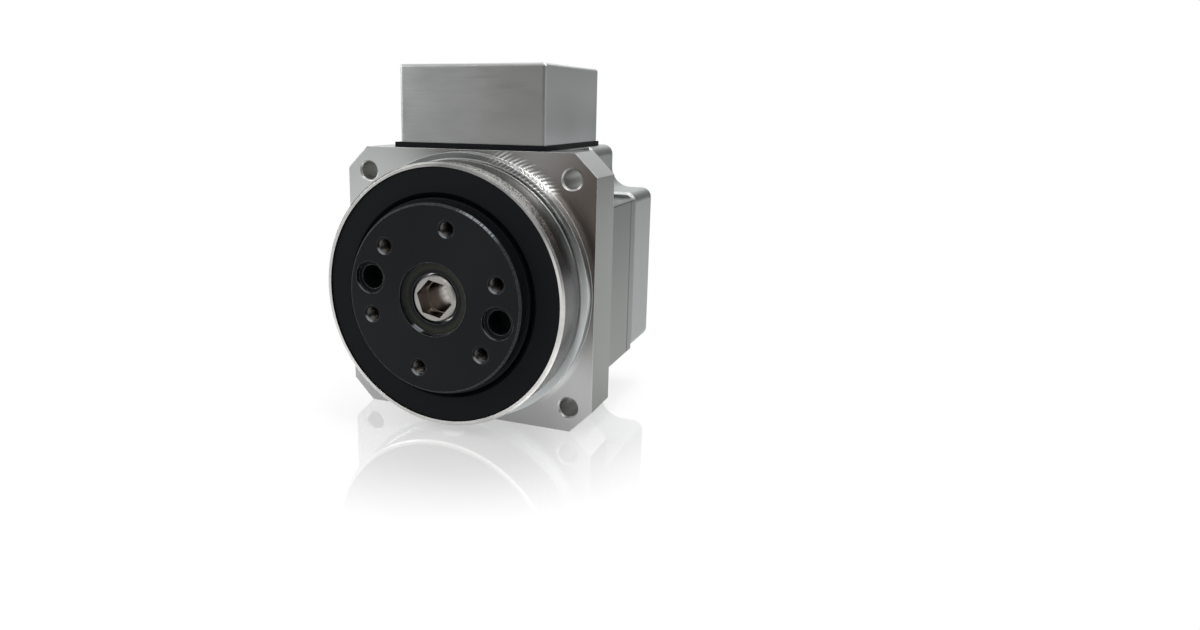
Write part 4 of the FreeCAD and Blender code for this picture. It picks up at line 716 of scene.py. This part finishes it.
finishLooks = {
    "machinedAluminium": (turnedMetal, {
        "dark": (0.40, 0.405, 0.405), "light": (0.47, 0.475, 0.475), "stain": 0.25,
        # the side colour is a painted shade on the side faces, the edge colour a painted chamfer highlight
        "stainColour": (0.38, 0.37, 0.35), "sideShare": 0.9, "sideColour": (0.136, 0.150, 0.141),
        "edgeColour": (0.56, 0.56, 0.55), "linesPerMm": 9.0, "grainShare": 0.5, "roughness": (0.26, 0.36),
        "markDepth": 0.003, "edge": 0.12, "anisotropy": 0.7, "edgeShare": 0.8,
        "register": {                            # places and radii in mm, turns in degrees
            # painted light: the wall colour, the bright step colour to the right and the lip colour are
            # painted highlights; the right colour, the dark step colour and the body's darkening towards the
            # top are painted shade
            "wall": (24.4, 24.8), "step": (22.8, 24.6), "soft": 0.1, "turnsPale": (56, 84),
            "colour": (0.80, 0.81, 0.82), "rightColour": (0.46, 0.49, 0.50),
            "corner": (0.55, 0.85, 0.05), "cornerShare": 0.5,
            "behind": (9.5, 9.8), "behindRoughness": 0.46, "bodyUp": (-12.0, 20.0),
            "bodyLow": (0.275, 0.293, 0.278), "bodyHigh": (0.185, 0.200, 0.192),
            "seam": (20.45, 21.0), "seamShare": 0.8, "seamColour": (0.03, 0.03, 0.03),
            "stepColour": (0.24, 0.25, 0.25), "stepRight": (0.84, 0.88, 0.88), "stepRoughness": 0.60,
            "lip": (23.35, 23.6, 0.08), "lipColour": (0.98, 0.98, 0.97)},
        "paintedLight": {                             # radii in mm, spans in degrees, drift and lengths per radian
            # painted radial glints beside the boss, a painted highlight
            "from": 15, "to": 43, "soft": 0.08, "inner": 24.8, "outer": 26.2, "areasFrom": 26.0,
            "everyDegrees": 2.0, "slant": 0.9, "drift": 3.0, "driftShare": 6.0, "wave": (-0.7, 0.9),
            "driftNoise": (2.0, 0.5), "lengthNoise": (1.0, 0.5),
            "lengths": 16.0, "lengthSpread": (0.3, 0.7), "shortest": 25.5, "tail": (-0.5, 0.9),
            "foot": (24.3, 24.5), "stepShare": 0.6, "core": (24.3, 24.75, 0.12), "coreFrom": 25,
            "share": 1.0, "roughness": 0.26, "glint": (0.99, 0.99, 0.97),
            # painted reflection and painted shade: brighter to the left, greyer at the top, browner to the
            # right; the last area is a painted highlight at the lower right
            "areas": (
                {"span": (-100, -22), "soft": 0.40, "near": 1.0, "far": 1.0, "share": 0.95,
                 "colour": (0.66, 0.675, 0.675)},
                {"span": (-16, 28), "soft": 0.25, "near": 1.0, "far": 1.0, "share": 0.95,
                 "colour": (0.19, 0.188, 0.180)},
                {"span": (34, 106), "soft": 0.35, "near": 0.9, "far": 1.0, "share": 0.95,
                 "colour": (0.105, 0.086, 0.074)},
                {"span": (120, 138), "soft": 0.15, "near": 1.0, "far": 0.3, "share": 0.9,
                 "colour": (0.76, 0.77, 0.76)})},
        "holes": {"at": 20.5, "radius": 1.85, "edgeRadius": 2.05, "upper": (-1.2, 0.2), "edgeLoss": 0.9,
                  "roughness": 0.50, "colour": (0.52, 0.52, 0.50)}}),
    "plainMachined": (turnedMetal, {
        "dark": (0.40, 0.405, 0.405), "light": (0.50, 0.505, 0.505), "stain": 0.2,
        "stainColour": (0.42, 0.41, 0.39),
        "sideShare": 0.0, "sideColour": (0.4, 0.4, 0.4), "edgeColour": (0.60, 0.60, 0.59),
        "linesPerMm": 7.0, "grainShare": 0.2, "roughness": (0.26, 0.36), "markDepth": 0.004, "edge": 0.12,
        "anisotropy": 0.6}),
    "ringMetal": (ringMetal, {       # bands, rim and neck in mm, spans in degrees
        "base": 0.125, "lineTone": 0.10, "linesPerMm": 6.0, "grainPerMm": 3.0, "cloudNoise": (0.12, 3.0),
        "noise": (3.0, 0.7), "speck": (0.40, 0.60), "bump": 0.6,
        # the band of tone 0.96 is a painted highlight line; the right tone and neck tone are painted shade;
        # the bead tones and rim tone are painted highlights
        "bands": ((-10.3, -9.80, 0.30), (-9.80, -8.4, 0.12), (-4.2, -3.6, 0.10), (-3.5, -2.9, 0.96)),
        "bandSoft": 0.08, "frontTone": 0.34, "rim": (-9.85, -9.75), "rimTone": 0.66,
        "turnsDark": (56, 78), "rightTone": 0.062, "rightLines": 0.05, "neck": (-3.3, -2.2), "neckTone": 0.02,
        "beadsAndSparkle": {"band": (-9.80, -7.6, 0.2), "span": (2, 58), "soft": 0.27, "rimSoft": 0.25,
                  "contrast": (0.44, 0.56), "tones": (0.20, 1.0), "height": 6.0},
        "cloud": (0.3, 0.7, 0.85, 1.1), "white": (1.0, 0.99, 0.965),
        "roughness": (0.26, 0.38), "markDepth": 0.005, "edge": 0.08, "anisotropy": 0.55}),
    "groundSteel": (turnedMetal, {
        "dark": (0.44, 0.44, 0.45), "light": (0.56, 0.56, 0.57), "stain": 0.10,
        "stainColour": (0.5, 0.48, 0.46),
        "sideShare": 0.0, "sideColour": (0.4, 0.4, 0.4), "edgeColour": (0.62, 0.62, 0.62),
        "linesPerMm": 9.0, "grainShare": 0.3, "roughness": (0.14, 0.24), "markDepth": 0.002, "edge": 0.05,
        "anisotropy": 0.5}),
    "brightShaft": (turnedMetal, {
        "dark": (0.30, 0.295, 0.28), "light": (0.40, 0.39, 0.375), "stain": 0.4,
        "stainColour": (0.34, 0.31, 0.27),
        "sideShare": 0.0, "sideColour": (0.4, 0.4, 0.4), "edgeColour": (0.58, 0.57, 0.55),
        "linesPerMm": 6.0, "grainShare": 0.5, "roughness": (0.28, 0.42), "markDepth": 0.003, "edge": 0.05,
        "anisotropy": 0.2, "edgeShare": 0.3,
        "bore": {"radius": (3.55, 3.65), "deep": (-6.0, -3.0), "colour": (0.25, 0.19, 0.155),
                 # the deep colour is a painted reflection
                 "deepColour": (0.86, 0.85, 0.84), "roughness": 0.12}}),
    "satinCover": (blastedMetal, {
        "dark": (0.33, 0.35, 0.345), "light": (0.40, 0.425, 0.42), "stain": 0.15,
        "stainColour": (0.36, 0.37, 0.37),
        "grainPerMm": 5.0, "grainDepth": 0.010, "roughness": (0.38, 0.50), "edge": 0.25}),
    "brushedBox": (brushedMetal, {
        "dark": (0.36, 0.37, 0.37), "light": (0.44, 0.45, 0.45), "linesPerMm": 7.0, "roughness": (0.30, 0.40),
        # the darker, warmer grey towards +X is a painted shade; the pale colours of the sides and top are
        # painted light
        "markDepth": 0.003, "edge": 0.18, "anisotropy": 0.5, "rightShade": (0.30, 0.295, 0.28), "rightShadeShare": 0.7,
        "sidePale": 0.95, "topPale": 0.5, "paleColour": (0.66, 0.69, 0.69),
        "paleTop": (0.97, 0.99, 0.99), "paleUp": (28.0, 37.0)}),
    "blackOutput": (blackOxide, {
        "dark": (0.0028, 0.0034, 0.0042), "light": (0.0050, 0.0058, 0.0068), "stain": 0.25,
        # the worn colour serves both real wear and painted highlights at edges, chamfers, the recess and the
        # hole mouths
        "stainColour": (0.0075, 0.0070, 0.0062), "wearAndHighlightColour": (0.34, 0.37, 0.39), "wearAndHighlight": 0.6, "rubbedAndGlinting": 1.0,
        "metallic": 0.0, "linesPerMm": 6.0, "roughness": (0.36, 0.48),
        "rim": {                                 # places and radii in mm, spans in degrees
            "wearAndHighlightTo": (-11.4, -11.1), "radius": (15.0, 15.5), "spokes": 45.0, "dashes": (20, 46, 0.12),
            "spokeNoise": (2.0, 0.6),
            "dashContrast": (0.42, 0.56, 0.30, 1.0), "dashFade": (0.0, 1.0, 0.10, 1.0),
            "glint": (-158, -141, 0.05), "recess": (6.2, 6.6, 0.1),
            "mouth": (-12.35, -12.0), "holes": (8.5, 15.9, 0.2), "crescentFacing": (0.52, -0.40, 0.755),
            "crescent": (0.74, 0.90), "crescentShare": 0.8,
            "floor": (5.2, 6.3, 0.3), "floorDepth": (-12.2, -12.0), "floorShare": 0.8,
            "floorColour": (0.020, 0.021, 0.015)},
        "markDepth": 0.004, "edge": 0.10, "anisotropy": 0.5, "specular": 0.12}),
    "blackScrew": (blackOxide, {
        "dark": (0.014, 0.014, 0.015), "light": (0.030, 0.030, 0.032), "stain": 0.2,
        # the worn colour serves both real wear and a painted highlight at edges and chamfers
        "stainColour": (0.04, 0.036, 0.03), "wearAndHighlightColour": (0.22, 0.22, 0.22), "wearAndHighlight": 0.7, "rubbedAndGlinting": 0.4,
        "metallic": 0.3, "linesPerMm": 6.0, "roughness": (0.30, 0.42),
        "markDepth": 0.004, "edge": 0.06, "anisotropy": 0.3, "specular": 0.5}),
    "threadSteel": (platedMetal, {
        "dark": (0.06, 0.056, 0.052), "light": (0.16, 0.15, 0.137), "roughness": (0.22, 0.34), "edge": 0.03}),
    "sealRubber": (matteRubber, {
        "dark": (0.0022, 0.0026, 0.0036), "light": (0.0040, 0.0045, 0.0058), "dust": (0.0050, 0.0056, 0.0072),
        "grainPerMm": 4.0, "grainDepth": 0.006, "roughness": (0.50, 0.62), "edge": 0.12, "specular": 0.08}),
    "windingCopper": (woundCopper, {
        "dark": (0.50, 0.20, 0.08), "light": (0.74, 0.34, 0.15), "groove": (0.10, 0.035, 0.015),
        "wireMm": 0.42}),
    "statorSteel": (laminatedSteel, {
        "dark": (0.20, 0.20, 0.22), "light": (0.34, 0.34, 0.36), "seamColour": (0.04, 0.04, 0.05),
        "sheetMm": 0.5}),
    "nickelMagnet": (platedMetal, {
        "dark": (0.50, 0.49, 0.46), "light": (0.62, 0.61, 0.58), "roughness": (0.16, 0.24), "edge": 0.08}),
    "drawnCan": (platedMetal, {
        "dark": (0.52, 0.53, 0.55), "light": (0.66, 0.67, 0.69), "roughness": (0.26, 0.38), "edge": 0.10}),
    "goldPlate": (platedMetal, {
        "dark": (0.72, 0.50, 0.17), "light": (0.88, 0.68, 0.28), "roughness": (0.18, 0.28), "edge": 0.04}),
    "solderResist": (circuitBoard, {
        "dark": (0.010, 0.085, 0.035), "light": (0.016, 0.12, 0.05), "track": (0.05, 0.26, 0.11),
        "tracksPerMm": 0.9}),
    "darkPlastic": (mouldedPlastic, {
        "dark": (0.014, 0.014, 0.015), "light": (0.024, 0.024, 0.026), "roughness": (0.38, 0.52),
        "grainPerMm": 6.0, "grainDepth": 0.006, "edge": 0.08}),
    "encoderGlass": (mouldedPlastic, {
        "dark": (0.03, 0.03, 0.045), "light": (0.05, 0.05, 0.07), "roughness": (0.08, 0.16),
        "grainPerMm": 2.0, "grainDepth": 0.001, "edge": 0.05}),
}
finishes = {name: make(name, look) for name, (make, look) in finishLooks.items()}

wearers = {
    "machinedAluminium": ["main_housing"],
    "plainMachined": ["end_plate", "front_spacer", "middle_spacer", "rear_spacer"],
    "ringMetal": ["bearing_outer_ring"],
    "groundSteel": ["bearing_plug", "bearing_plug_pin", "bearing_rollers", "circular_spline", "flexspline",
                    "flexspline_clamp", "wave_generator_cam", "wave_bearing_outer", "wave_bearing_inner",
                    "wave_bearing_rollers", "front_bearing_outer", "front_bearing_inner",
                    "front_bearing_balls", "rear_bearing_outer", "rear_bearing_inner", "rear_bearing_balls",
                    "rotor_hub"],
    "brightShaft": ["hollow_shaft"],
    "satinCover": ["rear_cover"],
    "brushedBox": ["drive_cover"],
    "blackOutput": ["output_flange"],
    "blackScrew": ["flexspline_screws", "ring_screws", "housing_screws", "shaft_circlip", "rear_cover_screws",
                   "end_plate_screws", "encoder_screws", "drive_cover_screws"],
    "sealRubber": ["output_seal", "drive_gasket"],
    "windingCopper": ["stator_windings", "motor_leads"],
    "statorSteel": ["stator_core"],
    "nickelMagnet": ["rotor_magnets"],
    "drawnCan": ["drive_capacitors"],
    "goldPlate": ["drive_standoffs", "socket_pins"],
    "solderResist": ["encoder_board", "drive_board"],
    "darkPlastic": ["encoder_reader", "drive_transistors", "power_socket", "data_socket"],
    "encoderGlass": ["encoder_disc"],
}
for finish, wearerNames in wearers.items():
    for nodeName in wearerNames:
        nodes[nodeName].data.materials.clear()
        nodes[nodeName].data.materials.append(finishes[finish])
print("finishes on", sum(len(n) for n in wearers.values()), "parts")


threadLook = {
    "circle": 12.7, "start": 13.0, "count": 6,      # mm and degrees, clockwise from up
    "mouth": -12.30, "end": -6.40, "pitch": 0.5,    # mm along the axis
    "root": 1.265, "crest": 1.10,                   # mm from the hole's own axis
    "ridge": (-0.40, -0.07, 0.07, 0.40),            # its corners along the axis, as shares of the pitch
    "stepsPerTurn": 28,
}


def makeThreads(look):
    # a trapezoid carried along a helix in each hole: along = mouth + pitch * turns, angle = 2 pi * turns
    turns = (look["end"] - look["mouth"]) / look["pitch"]
    count = int(turns * look["stepsPerTurn"])
    turn = np.linspace(0.0, turns, count)
    depth = np.array([look["root"], look["crest"], look["crest"], look["root"]])
    along = np.array(look["ridge"]) * look["pitch"]
    radius = np.broadcast_to(depth, (count, 4))
    angle = np.broadcast_to(2 * math.pi * turn[:, None], (count, 4))
    y = look["mouth"] + look["pitch"] * turn[:, None] + along
    ridge = np.stack([radius * np.cos(angle), y, radius * np.sin(angle)], 2).reshape(-1, 3)
    ring = np.arange(count - 1)[:, None] * 4
    corner = np.arange(4)
    nextCorner = (corner + 1) % 4
    quads = np.stack([ring + corner, ring + nextCorner, ring + 4 + nextCorner, ring + 4 + corner], 2)
    quads = quads.reshape(-1, 4)
    caps = np.array([[3, 2, 1, 0], [0, 1, 2, 3]]) + np.array([[0], [4 * (count - 1)]])
    oneFaces = np.concatenate([quads, caps])
    points = []
    faces = []
    for hole in range(look["count"]):
        a = math.radians(look["start"] + 360.0 * hole / look["count"])
        points.append(ridge + np.array([look["circle"] * math.sin(a), 0.0, look["circle"] * math.cos(a)]))
        faces.append(oneFaces + hole * len(ridge))
    mesh = bpy.data.meshes.new("outputThreads")
    mesh.from_pydata((np.concatenate(points) * mm).tolist(), [], np.concatenate(faces).tolist())
    threads = bpy.data.objects.new("outputThreads", mesh)
    scene.collection.objects.link(threads)
    mesh.materials.append(finishes["threadSteel"])
    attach(threads, "output")


makeThreads(threadLook)
print("threads cut")


studio = {
    "floorLevel": -25.0,              # mm, the flange stands on it
    "floorReach": 3000.0,             # mm
    "floorColour": (0.9, 0.9, 0.9), "mirrorRoughness": 0.04,
    "mirror": 0.30,                   # share of a mirror in the floor close to the object
    "mirrorFade": (20.0, 54.0),       # mm from the axis where that share starts to fall and is gone
    "shadowShare": 0.30,              # how much of the floor's own light shows, and so its shadow
    "shadowFade": (26.0, 90.0),
    "ambient": 0.55,
    "lamps": {
        "keyPanel": {"place": (40, -330, 250), "size": (70, 160), "power": 0.42},
        "leftPanel": {"place": (-330, -160, 150), "size": (240, 240), "power": 0.95},
        "topPanel": {"place": (60, 80, 400), "size": (260, 260), "power": 1.05},
        "rightPanel": {"place": (300, -20, 250), "size": (150, 150), "power": 0.35},
    },
    # mm; grey walls that only reflections see, open behind the object from and to these degrees round from +X
    "walls": {"radius": 720, "height": 620, "tone": 0.16, "opening": (83.0, 152.0), "steps": 48},
}


def makeLamp(name, look):
    panel = bpy.data.lights.new(name, "AREA")
    panel.shape = "RECTANGLE"
    panel.size, panel.size_y = (s * mm for s in look["size"])
    panel.energy = look["power"]
    lamp = bpy.data.objects.new(name, panel)
    lamp.location = Vector(look["place"]) * mm
    lamp.rotation_euler = (-lamp.location).to_track_quat("-Z", "Y").to_euler()
    scene.collection.objects.link(lamp)


def seenDirectly(tree):
    # 1 for rays from the camera, from a glossy surface or through glass, and 0 for all others
    path = tree.nodes.new("ShaderNodeLightPath")
    seen = plus(tree, path.outputs["Is Camera Ray"], path.outputs["Is Glossy Ray"], True)
    return plus(tree, seen, path.outputs["Is Transmission Ray"], True)


def makeFloor(look):
    # white where it is seen directly, lit and shadowed close to the object, and a weak mirror under it
    reach = look["floorReach"] * mm
    level = look["floorLevel"] * mm
    corners = [(-reach, -reach, level), (reach, -reach, level), (reach, reach, level), (-reach, reach, level)]
    mesh = bpy.data.meshes.new("paleFloor")
    mesh.from_pydata(corners, [], [(0, 1, 2, 3)])
    floor = bpy.data.objects.new("paleFloor", mesh)
    scene.collection.objects.link(floor)
    material, tree, output = startMaterial("paleFloor")
    facts = surfaceFacts(tree)
    flatRadius = calc(tree, "SQRT", plus(tree, calc(tree, "POWER", facts["x"], 2.0),
                                         calc(tree, "POWER", facts["y"], 2.0)))
    share = fadeMm(tree, flatRadius, *look["mirrorFade"], look["mirror"], 0.0)
    plain = fadeMm(tree, flatRadius, *look["shadowFade"], look["shadowShare"], 0.0)
    lit = tree.nodes.new("ShaderNodeBsdfDiffuse")
    put(tree, lit.inputs["Color"], look["floorColour"])
    glow = tree.nodes.new("ShaderNodeEmission")
    put(tree, glow.inputs["Color"], (1, 1, 1))
    pale = tree.nodes.new("ShaderNodeMixShader")
    put(tree, pale.inputs[0], times(tree, seenDirectly(tree), minus(tree, 1.0, plain)))
    tree.links.new(lit.outputs[0], pale.inputs[1])
    tree.links.new(glow.outputs[0], pale.inputs[2])
    mirror = tree.nodes.new("ShaderNodeBsdfAnisotropic")
    mirror.inputs["Roughness"].default_value = look["mirrorRoughness"]
    put(tree, mirror.inputs["Color"], (1, 1, 1))
    whole = tree.nodes.new("ShaderNodeMixShader")
    put(tree, whole.inputs[0], share)
    tree.links.new(pale.outputs[0], whole.inputs[1])
    tree.links.new(mirror.outputs[0], whole.inputs[2])
    tree.links.new(whole.outputs[0], output.inputs["Surface"])
    mesh.materials.append(material)


def makeWalls(look):
    # part of a cylinder round the set: metal mirrors it, the camera doesn't see it
    wall = look["walls"]
    first, last = (math.radians(a) for a in wall["opening"])
    turn = np.linspace(last, first + 2 * math.pi, wall["steps"] + 1)
    foot = np.full(turn.shape, look["floorLevel"] / wall["radius"])
    low = np.stack([np.cos(turn), np.sin(turn), foot], 1)
    high = low.copy()
    high[:, 2] = wall["height"] / wall["radius"]
    points = np.concatenate([low, high]) * wall["radius"] * mm
    n = len(turn)
    mesh = bpy.data.meshes.new("greyWalls")
    mesh.from_pydata(points.tolist(), [], [(i, i + 1, n + i + 1, n + i) for i in range(n - 1)])
    walls = bpy.data.objects.new("greyWalls", mesh)
    scene.collection.objects.link(walls)
    material, tree, output = startMaterial("greyWalls")
    tone = tree.nodes.new("ShaderNodeEmission")
    put(tree, tone.inputs["Color"], (wall["tone"],) * 3)
    tree.links.new(tone.outputs[0], output.inputs["Surface"])
    mesh.materials.append(material)
    for ray in ("camera", "diffuse", "transmission", "shadow", "volume_scatter"):
        setattr(walls, "visible_" + ray, False)


def makeWorld(look):
    # white where it is seen directly, and softer as light on the object
    world = bpy.data.worlds.new("studioWorld")
    scene.world = world
    world.use_nodes = True
    tree = world.node_tree
    tree.nodes.clear()
    output = tree.nodes.new("ShaderNodeOutputWorld")
    sky = tree.nodes.new("ShaderNodeBackground")
    put(tree, sky.inputs["Color"], (1, 1, 1))
    put(tree, sky.inputs["Strength"], blendValues(tree, seenDirectly(tree), look["ambient"], 1.0))
    tree.links.new(sky.outputs[0], output.inputs["Surface"])


makeFloor(studio)
makeWorld(studio)
makeWalls(studio)
for lampName, lampLook in studio["lamps"].items():
    makeLamp(lampName, lampLook)
print("studio ready")
